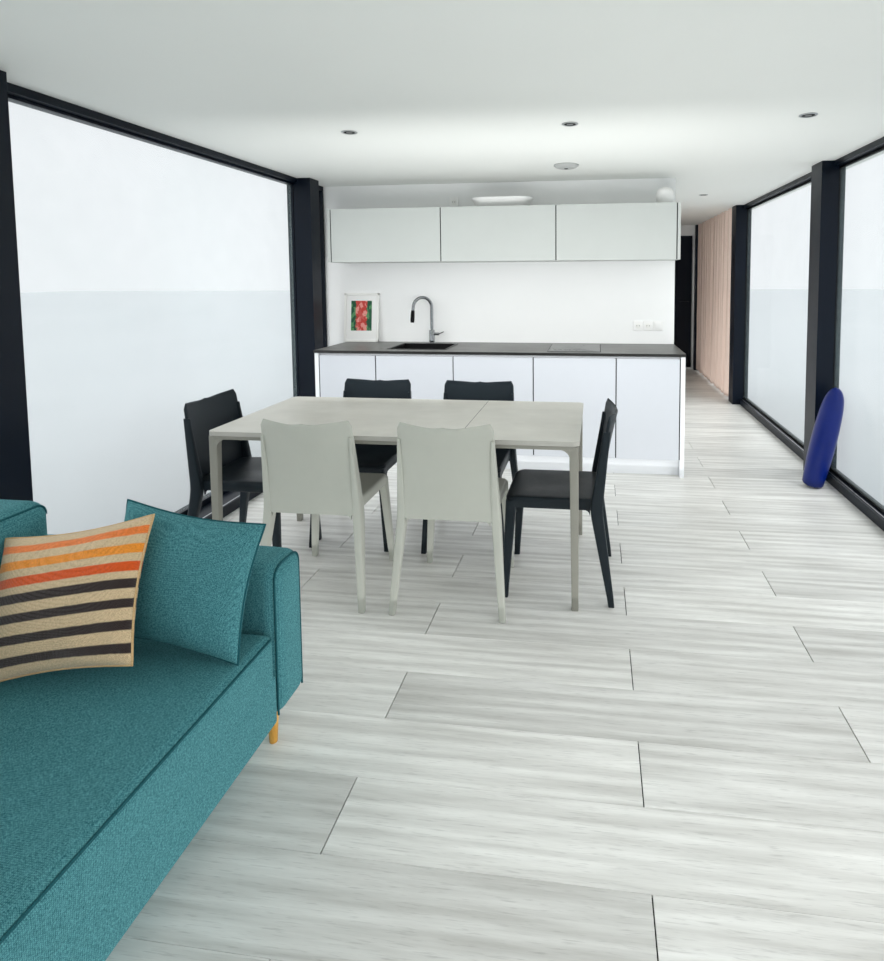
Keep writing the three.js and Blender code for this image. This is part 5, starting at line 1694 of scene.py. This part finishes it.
@dataclass
class Picture(Maker):
    """A framed sheet with a plain pattern, leaning on the worktop."""

    lean: float = 0.1

    def build(self) -> None:
        """Frame bars, mount and print, built upright and then leaned about their foot."""
        low, high = (np.array(v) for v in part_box("picture"))
        width, tall, deep = high[0] - low[0], 0.420, 0.018
        half = width / 2
        c, s = math.cos(self.lean), math.sin(self.lean)
        foot = np.array([(low[0] + high[0]) / 2, high[1] - tall * s - deep * c, low[2]])

        def lean(points: Array) -> Array:
            x, y, z = points.T
            return np.stack([x, y * c + z * s, z * c - y * s], 1) + foot + [0, 0, deep * s]

        skin = Skin()
        bar = 0.020
        for a, b in (((-half, 0, 0), (-half + bar, deep, tall)), ((half - bar, 0, 0), (half, deep, tall)),
                     ((-half, 0, 0), (half, deep, bar)), ((-half, 0, tall - bar), (half, deep, tall))):
            skin.add(soft_box(a, b, 0.0015, 1).shaped(lean), 0)
        mount = soft_box((-half + bar, 0.006, bar), (half - bar, 0.010, tall - bar), 0.0005, 1)
        skin.add(mount.shaped(lean), 1)

        def sheet(u: Array, v: Array) -> Array:
            return np.stack([0.092 * u, np.full_like(u, 0.0052), 0.225 + 0.128 * v], -1)

        skin.add(thick_sheet(sheet, (8, 10), 0.0012, 1).shaped(lean), 2)
        self.piece("framed_print", skin, ["frame_white", "white_plastic", "print"], "picture_frame",
                   stands_for=["picture"])


# Dining place


@dataclass
class DiningTable(Maker):
    """Ceramic-topped extending table on a coated metal frame with arched corners."""

    leaf_seams: tuple[float, ...] = (-0.245,)
    apron: float = 0.018
    leg_top: float = 0.040
    leg_foot: float = 0.029
    bend: float = 0.048

    def frame(self) -> None:
        """Legs and bars with sections carried along their paths, and webs that round their corners."""
        low, high = (np.array(v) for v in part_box("table_frame"))
        top = high[2]
        skin = Skin()
        middle = top - self.apron / 2
        leg, foot, inset = self.leg_top / 2, self.leg_foot / 2, 0.012
        ends, sides = ((1, low[1]), (-1, high[1])), ((1, low[0]), (-1, high[0]))
        bar = round_section(0.011, self.apron / 2, 0.003, 2)
        share = np.linspace(0, 1, 12)
        half = foot + (leg - foot) * share
        for hand, y in ends:
            for side, x in sides:
                path = np.stack([x + side * (half + 0.001), y + hand * (half + 0.001),
                                 low[2] + (top - 0.003 - low[2]) * share], 1)
                skin.add(carry_along(path, round_section(1.0, 1.0, 0.22, 3), (0, 1, 0),
                                     np.stack([half, half], 1)))
                glide = carried_round((half[0] * 0.8, half[0] * 0.8), 0.004, [(0, 0), (0, 0.002)],
                                      (*path[0, :2], low[2] - 0.0002), 2)
                skin.add(glide, 1)
            line = (low[0] + leg, y + hand * inset, middle), (high[0] - leg, y + hand * inset, middle)
            skin.add(carry_along(np.linspace(*line, 6), bar, (0, 0, 1)))
        for side, x in sides:
            line = (x + side * inset, low[1] + leg, middle), (x + side * inset, high[1] - leg, middle)
            skin.add(carry_along(np.linspace(*line, 6), bar, (0, 0, 1)))
        reach, under = self.leg_top - 0.003, top - self.apron + 0.002
        for hand, y in ends:
            for side, x in sides:
                for corner, along, across in (((x + side * reach, y, under), (side, 0, 0), (0, hand, 0)),
                                              ((x, y + hand * reach, under), (0, hand, 0), (side, 0, 0))):
                    skin.add(corner_web(corner, along, across, self.bend, (0.002, 0.021)))
        self.piece("table_underframe", skin, ["table_metal", "rubber"], "table_metal",
                   stands_for=["table_frame"])

    def build(self) -> None:
        """Dresses the top, adds its frame and marks its leaf joint with a thin dark strip."""
        self.dress("table", "table_top")
        self.frame()
        low, high = (np.array(v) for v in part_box("table_top"))
        skin = Skin()
        for x in self.leaf_seams:
            skin.add(soft_box((x - 0.0011, low[1] + 0.002, high[2] - 0.0006),
                              (x + 0.0011, high[1] - 0.002, high[2] + 0.0002), 0.0003, 1))
        self.piece("table_leaf_joints", skin, ["shadow"], "table_stone")


class ChairTone(Enum):
    """The two moulded colours."""

    PALE = "pale"
    DARK = "dark"


@dataclass
class Chairs(Maker):
    """Six moulded chairs of one shape, worked out once about the middle of the feet, facing +Y."""

    places: tuple[tuple[float, float, int, ChairTone], ...] = (
        (-0.883, -1.842, 0, ChairTone.PALE), (-0.268, -1.842, 0, ChairTone.PALE),
        (-0.945, -1.276, 2, ChairTone.DARK), (-0.325, -1.276, 2, ChairTone.DARK),
        (0.191, -1.672, 1, ChairTone.DARK), (-1.400, -1.630, 3, ChairTone.DARK))
    depth: float = 0.505
    rear_half: float = 0.254
    front_half: float = 0.224
    seat_half: float = 0.198
    seat: float = 0.460
    skirt: float = 0.050
    height: float = 0.838
    foot: float = 0.014
    back_foot: float = 0.412
    back_inset: float = 0.062
    back_half: float = 0.215
    taper: float = 0.016
    lean: float = 0.036
    hollow: float = 0.036
    dip: float = 0.012

    def back_surface(self, u: Array, v: Array) -> Array:
        """The back's middle surface.

        Its half width falls by taper upwards and is cut by small round corners at the top. It leans back
        by lean times the square of the height. Its middle is hollow, and its top edge lower, by hollow
        and dip times the height times 1 - u squared.
        """
        share = (v + 1) / 2
        tall = self.height - 0.007 - self.back_foot
        over = np.clip((share - 1) * tall / 0.011 + 1, 0, 1)
        half = self.back_half - self.taper * share - 0.010 * (1 - np.sqrt(np.clip(1 - over ** 2, 0, 1)))
        bow = (1 - u * u) * share
        y = -self.depth / 2 + self.back_inset - self.lean * share ** 2 - self.hollow * bow
        return np.stack([u * half, y, self.back_foot + tall * share - self.dip * bow], -1)

    def seat_shell(self) -> Shell:
        """The seat with its skirt: hollow below, a round front edge and a dished top.

        The top sinks by 9 mm times the product of the squared cosines of the place, and the front edge
        falls by 9 mm more in a waterfall.
        """
        rear, front = -self.depth / 2 + self.back_inset, self.depth / 2 - 0.014
        half_y, top, low, wall = (front - rear) / 2, self.seat, self.seat - self.skirt, 0.012
        turn = np.linspace(0, np.pi / 2, 5)
        rim = [(wall * (1 - math.cos(a)), top - wall + wall * math.sin(a)) for a in turn]
        inner = [(d, top - 0.0002) for d in (0.03, 0.06, 0.10, 0.14, 0.18)]
        under = [(0.17, top - 0.016), (0.02, top - 0.016), (wall, top - 0.024), (wall, low + 0.002),
                 (wall - 0.002, low), (0.002, low), (0.0, low + 0.002)]
        shell = carried_round((self.seat_half, half_y), 0.045, under + rim + inner,
                              (0, (rear + front) / 2, 0), 6)

        def dish(points: Array) -> Array:
            x, y, z = points.T
            on_top = np.clip((z - (top - 0.02)) / 0.02, 0, 1)
            a = np.clip(np.abs(x) / self.seat_half, 0, 1)
            b = np.clip((y - (rear + front) / 2) / half_y, -1, 1)
            sink = 0.009 * np.cos(a * np.pi / 2) ** 2 * np.cos(b * np.pi / 2) ** 2
            fall = 0.009 * np.clip((b - 0.72) / 0.28, 0, 1) ** 2
            return np.stack([x, y, z - on_top * (sink + fall)], 1)

        return shell.shaped(dish)

    def leg(self, stations: Sequence[tuple[float, float, float, float, float]]) -> Shell:
        """A leg through stations of x, y, z, width and depth, its section a square with round corners.

        Place and size run straight between the stations. Each level then takes the mean of itself,
        twice, and of the levels 35 mm above and below, which rounds the knee.
        """
        table = np.asarray(stations, float)
        z = np.linspace(table[0, 2], table[-1, 2], 21)

        def at(level: Array) -> Array:
            return np.stack([np.interp(level, table[:, 2], table[:, k]) for k in (0, 1, 3, 4)], 1)

        run = ((at(z - 0.035) + 2 * at(z) + at(z + 0.035)) / 4)[:, None]
        section = round_section(0.5, 0.5, 0.2, 3)[None]
        flat = run[..., :2] + run[..., 2:] * section
        heights = np.broadcast_to(z[:, None, None], (*flat.shape[:2], 1))
        return stacked(np.concatenate([flat, heights], -1))

    def form(self) -> list[tuple[Shell, int]]:
        """All shells of one chair with the finish that each wears."""
        rear, front, f, s = -self.depth / 2, self.depth / 2, self.foot, self.seat_half
        under = self.seat - self.skirt + 0.001
        shells = [(self.seat_shell(), 0), (thick_sheet(self.back_surface, (22, 20), 0.0135, 3), 0)]
        for hand in (-1, 1):
            feet = ((hand * (self.front_half - f), front - f), (hand * (self.rear_half - f), rear + f))
            front_leg = [(*feet[0], 0.0015, 0.027, 0.027),
                         (hand * (s - 0.0195), front - 0.042, self.seat - 0.02, 0.037, 0.049)]
            rear_leg = [(*feet[1], 0.0015, 0.027, 0.026), (hand * 0.206, rear + 0.083, 0.42, 0.040, 0.056),
                        (hand * 0.201, rear + 0.036, 0.765, 0.013, 0.030)]
            shells += [(self.leg(stations), 0) for stations in (front_leg, rear_leg)]
            shells += [(carried_round((0.010, 0.010), 0.006, [(0, 0), (0, 0.002)], (x, y, 0), 2), 1)
                       for x, y in feet]
            webs = [((hand * (s - 0.038), front - 0.026), (-hand, 0, 0), (0, 1, 0), (0.0, 0.0115)),
                    ((hand * s, front - 0.067), (0, -1, 0), (-hand, 0, 0), (0.0005, 0.0115)),
                    ((hand * (s - 0.018), rear + 0.062), (-hand, 0, 0), (0, 1, 0), (-0.006, 0.006)),
                    ((hand * s, rear + 0.111), (0, 1, 0), (-hand, 0, 0), (0.0005, 0.0115))]
            shells += [(corner_web((*at, under), along, across, 0.024, thick), 0)
                       for at, along, across, thick in webs]
        return shells

    def build(self) -> None:
        """Places the form six times; its points go into each mesh, turned by quarter turns."""
        shells = self.form()
        for k, (x, y, turns, tone) in enumerate(self.places):
            skin = Skin()
            for shell, dress in shells:
                skin.add(shell.moved(turns * math.pi / 2, (x, y, FLOOR_Z + 0.0004)), dress)
            self.piece(f"moulded_chair_{k + 1}", skin, [tone.value, "rubber"], f"chair_{tone.value}",
                       stands_for=[f"chair_{k + 1}"], crease=Crease.ROUND)


# Sofa and soft things


def plumped(piece: bpy.types.Object, pressure: float, cap: float, frames: int = 18) -> None:
    """Swells a cover with Blender's cloth under inner pressure and writes the result into its mesh.

    The seam, where u or v is 1, is held, as the piping keeps its length.

    Args:
        piece: a closed, even mesh.
        pressure: of the filling.
        cap: the furthest that a point may move, in metres.
        frames: steps of the simulation.
    """
    modifier = piece.modifiers.new("filling", "CLOTH")
    modifier.settings.quality = 6
    modifier.settings.use_pressure = True
    modifier.settings.uniform_pressure_force = pressure
    modifier.settings.tension_stiffness = 12
    modifier.settings.compression_stiffness = 6
    modifier.settings.bending_stiffness = 0.4
    modifier.settings.effector_weights.gravity = 0
    count = len(piece.data.vertices)
    flats = np.empty(count * 3, np.float32)
    piece.data.attributes["cloth"].data.foreach_get("vector", flats)
    seam = np.flatnonzero(np.abs(flats.reshape(-1, 3)[:, :2]).max(1) > 0.999)
    held = piece.vertex_groups.new(name="seam")
    held.add(seam.tolist(), 1.0, "ADD")
    modifier.settings.vertex_group_mass = held.name
    modifier.point_cache.frame_end = frames
    scene = bpy.context.scene
    for step in range(1, frames + 1):
        scene.frame_set(step)
    seen = piece.evaluated_get(bpy.context.evaluated_depsgraph_get()).to_mesh()
    before, after = np.empty(count * 3, np.float32), np.empty(count * 3, np.float32)
    piece.data.vertices.foreach_get("co", before)
    seen.vertices.foreach_get("co", after)
    piece.modifiers.remove(modifier)
    piece.vertex_groups.remove(held)
    scene.frame_set(1)
    move = (after - before).reshape(-1, 3)
    far = np.linalg.norm(move, axis=1, keepdims=True)
    move *= np.minimum(1.0, cap / np.maximum(far, 1e-9))
    piece.data.vertices.foreach_set("co", (before.reshape(-1, 3) + move).ravel())
    piece.data.update()


@dataclass
class Sofa(Maker):
    """A woven teal sofa with a long seat, a low back, round arms, piping and short wooden legs."""

    x: tuple[float, float] = (-1.500, -0.568)
    y: tuple[float, float] = (-4.840, -2.709)
    arm: float = 0.166
    arm_top: float = 0.598
    under: float = 0.130
    deck: float = 0.250
    seat_top: float = 0.413
    back_top: float = 0.790
    back: float = 0.225
    cord: float = 0.0034

    def crowned(self, shell: Shell, axis: int, amount: float) -> Shell:
        """Raises the face that looks along an axis by amount times (1 - u^4)(1 - v^4), with faint waves."""
        low, high = shell.points.min(0), shell.points.max(0)
        a, b = (axis + 1) % 3, (axis + 2) % 3

        def rule(points: Array) -> Array:
            t = 2 * (points - low) / (high - low) - 1
            face = np.clip(t[:, axis], 0, 1) ** 3
            puff = (1 - t[:, a] ** 4) * (1 - t[:, b] ** 4)
            wave = 0.0016 * np.sin(points[:, a] * 17 + 1.3) * np.sin(points[:, b] * 13 + 0.4)
            moved = points.copy()
            moved[:, axis] += face * (amount * puff + wave * puff)
            return moved

        return shell.shaped(rule)

    def cushion(self, name: str, low: Sequence[float], high: Sequence[float], radius: float, axis: int,
                node: str, piping: Sequence[Array]) -> None:
        """One padded block with a crown, and piping cords sewn along its edges."""
        cells = [max(2, int((b - a) / 0.035)) for a, b in zip(low, high)]
        shell = self.crowned(soft_box(low, high, radius, 4, cells), axis, 0.012)
        skin = Skin().add(shell, 0)
        piece = self.piece(name, skin, ["teal"], "teal_fabric", stands_for=[node], crease=Crease.ROUND)
        seams = Skin()
        for path in piping:
            up = (0, 0, 1) if np.ptp(path[:, 2]) < 0.2 else (1, 0, 0)
            seams.add(carry_along(path, circle(self.cord, 8), up))
        self.piece(f"{name}_piping", seams, ["piping"], "teal_fabric", crease=Crease.ROUND)

    def arms(self) -> None:
        """Padded arms with round tops, a base box between them, piping round the arm fronts, and legs."""
        z = FLOOR_Z
        low = (self.x[0], self.y[0] + self.arm, z + self.under)
        high = (self.x[1] - 0.03, self.y[1] - self.arm, z + self.deck - 0.001)
        skin = Skin().add(soft_box(low, high, 0.012, 3, (8, 24, 2)), 0)
        sides = ((self.y[0], self.y[0] + self.arm), (self.y[1] - self.arm, self.y[1]))
        for y0, y1 in sides:
            shell = soft_box((self.x[0], y0, z + self.under), (self.x[1], y1, z + self.arm_top), 0.046, 6,
                             (20, 3, 10))
            skin.add(self.crowned(shell, 2, 0.006), 0)
        inset = 0.012
        x, bottom, top = self.x[1] - inset, z + self.under + inset, z + self.arm_top - 0.008
        for y0, y1 in sides:
            corners = [(x, y0 + inset, bottom), (x, y0 + inset, top), (x, y1 - inset, top),
                       (x, y1 - inset, bottom)]
            skin.add(carry_along(bent_path(corners, 0.045, 8), circle(self.cord, 8), (1, 0, 0)), 1)
        piece = self.piece("sofa_body", skin, ["teal", "piping"], "teal_fabric", stands_for=["sofa_base"],
                           crease=Crease.ROUND)
        legs = Skin()
        for x in (self.x[0] + 0.07, self.x[1] - 0.07):
            for y in (self.y[0] + 0.09, self.y[1] - 0.09):
                t = np.linspace(0, 1, 6)[:, None]
                path = np.array([x, y, z + 0.0008]) + t * np.array([0, 0, self.under + 0.006])
                wide = 0.012 + 0.009 * t
                legs.add(carry_along(path, circle(1.0, 16), (0, 1, 0), np.concatenate([wide, wide], 1)))
        self.piece("sofa_legs", legs, ["leg_wood"], "teal_fabric", crease=Crease.ROUND)

    def build(self) -> None:
        """Body, seat and back."""
        self.arms()
        z = FLOOR_Z
        span = (self.y[0] + self.arm + 0.003, self.y[1] - self.arm - 0.003)
        back_x = self.x[0] + self.back
        front = self.x[1] - 0.004
        line = np.linspace(span[0] + 0.02, span[1] - 0.02, 40)
        edge = np.stack([np.full(40, front - 0.004), line, np.full(40, z + self.seat_top - 0.016)], 1)
        seat_low = (back_x + 0.003, span[0], z + self.deck + 0.001)
        self.cushion("sofa_seat_pad", seat_low, (front, span[1], z + self.seat_top - 0.004), 0.03, 2,
                     "sofa_seat", [edge])
        apron = soft_box((front - 0.035, span[0], z + self.under + 0.002),
                         (front, span[1], z + self.deck + 0.03), 0.012, 3, (1, 30, 3))
        self.piece("sofa_front", Skin().add(apron, 0), ["teal"], "teal_fabric", crease=Crease.ROUND)
        inset = 0.0146
        x, top = back_x - inset, z + self.back_top - 0.004 - inset
        ridge = bent_path([(x, span[0] + inset, z + 0.62), (x, span[0] + inset, top),
                           (x, span[1] - inset, top), (x, span[1] - inset, z + 0.62)], 0.035, 8)
        self.cushion("sofa_back_pad", (self.x[0], span[0], z + self.deck + 0.001),
                     (back_x, span[1], z + self.back_top - 0.004), 0.05, 0, "sofa_back", [ridge])


@dataclass
class Pillows(Maker):
    """Two loose pillows: a plain teal one and a handwoven one with cross bands."""

    pull: float = 0.09
    cord: float = 0.0032
    cells: int = 44

    def pinch(self, u: Array, v: Array) -> Array:
        """What share of the width is left where the sides pull in: 1 - pull (1 - u^2 v^2)."""
        return 1 - self.pull * (1 - u * u * v * v)

    def pillow(self, name: str, node: str, finish: str, slot: str, size: tuple[float, float, float],
               turns: tuple[float, float, float], place: tuple[float, float]) -> None:
        """A filled cover.

        The two faces puff as the square root of (1-u^4)(1-v^4), the sides pull in between the corners,
        and fine creases run towards the corners. Cloth under pressure then fills it. It is turned about
        Y, X and Z and set on the seat.

        Args:
            name, node: of the piece and of the CAD node that it stands for.
            finish, slot: its finish and the record's slot.
            size: width, height, thickness.
            turns: tilt, lean and turn, about Y, X and Z, in radians.
            place: x and y of its middle.
        """
        width, height, thick = size
        line = np.sin(np.linspace(-np.pi / 2, np.pi / 2, self.cells + 1))
        u, v = np.meshgrid(line, line, indexing="ij")
        edge = np.sqrt(np.clip((1 - u ** 4) * (1 - v ** 4), 0, 1))
        pinch = self.pinch(u, v)
        radial = np.sin(9 * np.arctan2(v, u) + 2.2 * np.hypot(u, v)) * np.hypot(u, v) ** 3
        crease = 0.0035 * radial * (1 - np.abs(u) ** 10) * (1 - np.abs(v) ** 10)
        faces, points, flats = [], [], []
        for hand in (-1, 1):
            y = -hand * (thick / 2 - 0.001) * edge + crease * edge
            points.append(np.stack([u * width / 2 * pinch, y, v * height / 2 * pinch], -1).reshape(-1, 3))
            flats.append(np.stack([u, v, np.full_like(u, hand)], -1).reshape(-1, 3))
            grid = grid_faces(*u.shape)
            faces.append((grid if hand > 0 else grid[:, ::-1]) + (0 if hand < 0 else u.size))
        shell = welded(np.concatenate(points), np.concatenate(faces), np.concatenate(flats))
        tilt, lean, turn = (Matrix.Rotation(a, 3, axis) for a, axis in zip(turns, "YXZ"))
        pose = np.array(turn @ lean @ tilt)

        def set_down(p: Array) -> Array:
            return p @ pose.T + [*place, 0.0]

        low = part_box(node)[0][2]
        moved = shell.shaped(set_down)
        lift = np.array([0, 0, low + 0.004 - moved.points[:, 2].min()])
        shell = moved.shaped(lambda p: p + lift)
        piece = self.piece(name, Skin().add(shell), [finish], slot, stands_for=[node], crease=Crease.ROUND)
        plumped(piece, 3.0, 0.012)
        rim = np.linspace(-1, 1, 30)[:-1]
        ones = np.ones_like(rim)
        loop_u = np.concatenate([rim, ones, -rim, -ones])
        loop_v = np.concatenate([-ones, rim, ones, -rim])
        pinch = self.pinch(loop_u, loop_v)
        loop = np.stack([loop_u * width / 2 * pinch, np.zeros_like(loop_u), loop_v * height / 2 * pinch], 1)
        loop = set_down(loop) + lift
        cord = Skin().add(carry_along(loop, circle(self.cord, 8), pose[:, 1], closed=True))
        self.piece(f"{name}_piping", cord, ["piping" if finish == "teal" else "cover_edge"], slot,
                   crease=Crease.ROUND)

    def build(self) -> None:
        """Both pillows."""
        self.pillow("teal_pillow", "pillow_teal", "teal", "teal_fabric", (0.440, 0.362, 0.110),
                    (0.1, -0.25, -0.03), (-0.788, -2.979))
        self.pillow("banded_pillow", "pillow_striped", "stripes", "striped_fabric", (0.434, 0.360, 0.100),
                    (-0.2, -0.52, -0.02), (-1.023, -3.104))


@dataclass
class Curtain(Maker):
    """A long linen curtain gathered along the aft starboard glazing."""

    flat: tuple[float, float] = (3.0, 2.20)
    folds: int = 13
    flank: float = 1.7
    crest: float = 0.94
    thick: float = 0.0016

    def build(self) -> None:
        """Folds as a sine whose depth and spacing drift down the cloth.

        The sine goes through tanh(flank * sine) / crest, which steepens the flanks of the folds and
        flattens their crests. Crest is about the tanh of flank, so that the depth stays the same.
        """
        low, high = (np.array(v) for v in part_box("curtain"))
        middle = (low[0] + high[0]) / 2
        swing = (high[0] - low[0]) / 2 - 0.003
        span, drop = high[1] - low[1], high[2] - low[2]

        def surface(u: Array, v: Array) -> Array:
            along, down = (u + 1) / 2, (1 - v) / 2
            phase = along * self.folds * 2 * np.pi
            drift = 1.5 * np.sin(along * 17 + 1.7 + 0.8 * down) + 0.9 * np.sin(along * 31 + 2 * down) * down
            depth = swing * (0.76 + 0.20 * np.sin(along * 37 + 3 * down) * (0.4 + 0.6 * down))
            fold = np.tanh(self.flank * np.sin(phase + drift)) / self.crest
            x = middle + depth * fold + 0.001 * np.sin(down * 31 + along * 55)
            y = low[1] + 0.004 + (span - 0.008) * along + 0.004 * np.sin(2 * phase) * down
            z = high[2] - 0.004 - (drop - 0.008) * down
            return np.stack([x, y, z], -1)

        skin = Skin().add(thick_sheet(surface, (self.folds * 14, 48), self.thick, 2))
        piece = self.piece("linen_curtain", skin, ["curtain"], "curtain_fabric", stands_for=["curtain"],
                           crease=Crease.ROUND)
        track = Skin().add(soft_box((middle - 0.009, low[1] - 0.02, high[2] - 0.0035),
                                    (middle + 0.009, high[1] + 0.015, CEILING_Z - 0.0004), 0.0012, 1))
        self.piece("curtain_track", track, ["white_plastic"], "roof_panel")


@dataclass
class Fender(Maker):
    """A blue inflated fender that leans on the starboard glass."""

    length: float = 0.690
    lean: float = 0.21
    rings: int = 49
    sides: int = 28

    def build(self) -> None:
        """A profile of radius and height turned about its axis, then leaned.

        The radius is 66 mm and 14 mm more by a sine, closed at the top by a fourth-power round and
        drawn in a little over the flat foot. Faint rings run round the top.
        """
        low, high = (np.array(v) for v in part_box("fender"))
        h = np.linspace(0, 1, self.rings) * self.length
        swell = 0.066 + 0.014 * np.sin(np.pi * np.minimum(h / 0.62, 1.04))
        cap = np.sqrt(np.clip(1 - np.clip((h - 0.45) / 0.24, 0, 1) ** 4, 0, 1))
        heel = np.sqrt(1 - 0.25 * np.clip(1 - h / 0.015, 0, 1) ** 2)
        radius = np.maximum(swell * cap * heel, 0.012)
        ribs = 0.0010 * np.sin(h * 400) * np.exp(-((h - 0.62) / 0.03) ** 2)
        angle = np.arange(self.sides) * 2 * np.pi / self.sides
        r = (radius + ribs)[:, None]
        shell = stacked(np.stack([r * np.cos(angle), r * np.sin(angle),
                                  np.repeat(h[:, None], self.sides, 1)], -1))
        c, s = math.cos(self.lean), math.sin(self.lean)

        def lean(p: Array) -> Array:
            x, y, z = p.T
            return np.stack([x * c + z * s, y, z * c - x * s], 1)

        shell = shell.shaped(lean)
        shift = np.array([high[0] - shell.points[:, 0].max() - 0.0005, (low[1] + high[1]) / 2,
                          low[2] - shell.points[:, 2].min() + 0.0003])
        shell = shell.shaped(lambda p: p + shift)
        self.piece("blue_fender", Skin().add(shell), ["fender"], "fender_blue", stands_for=["fender"],
                   crease=Crease.ROUND)


def main() -> None:
    """Builds the studio and then the boat, from the hull up."""
    logging.basicConfig(level=logging.INFO, format="%(message)s")
    Studio().build()
    finishes = Finishes()
    for maker in (Hull, EndDecks, CabinFloor, Glazing, Ceiling, AftHouse, Galley, Picture, DiningTable,
                  Chairs, Sofa, Pillows, Curtain, Fender):
        maker(finishes).build()
        LOG.info("%s done", maker.__name__)


if __name__ == "__main__":
    main()
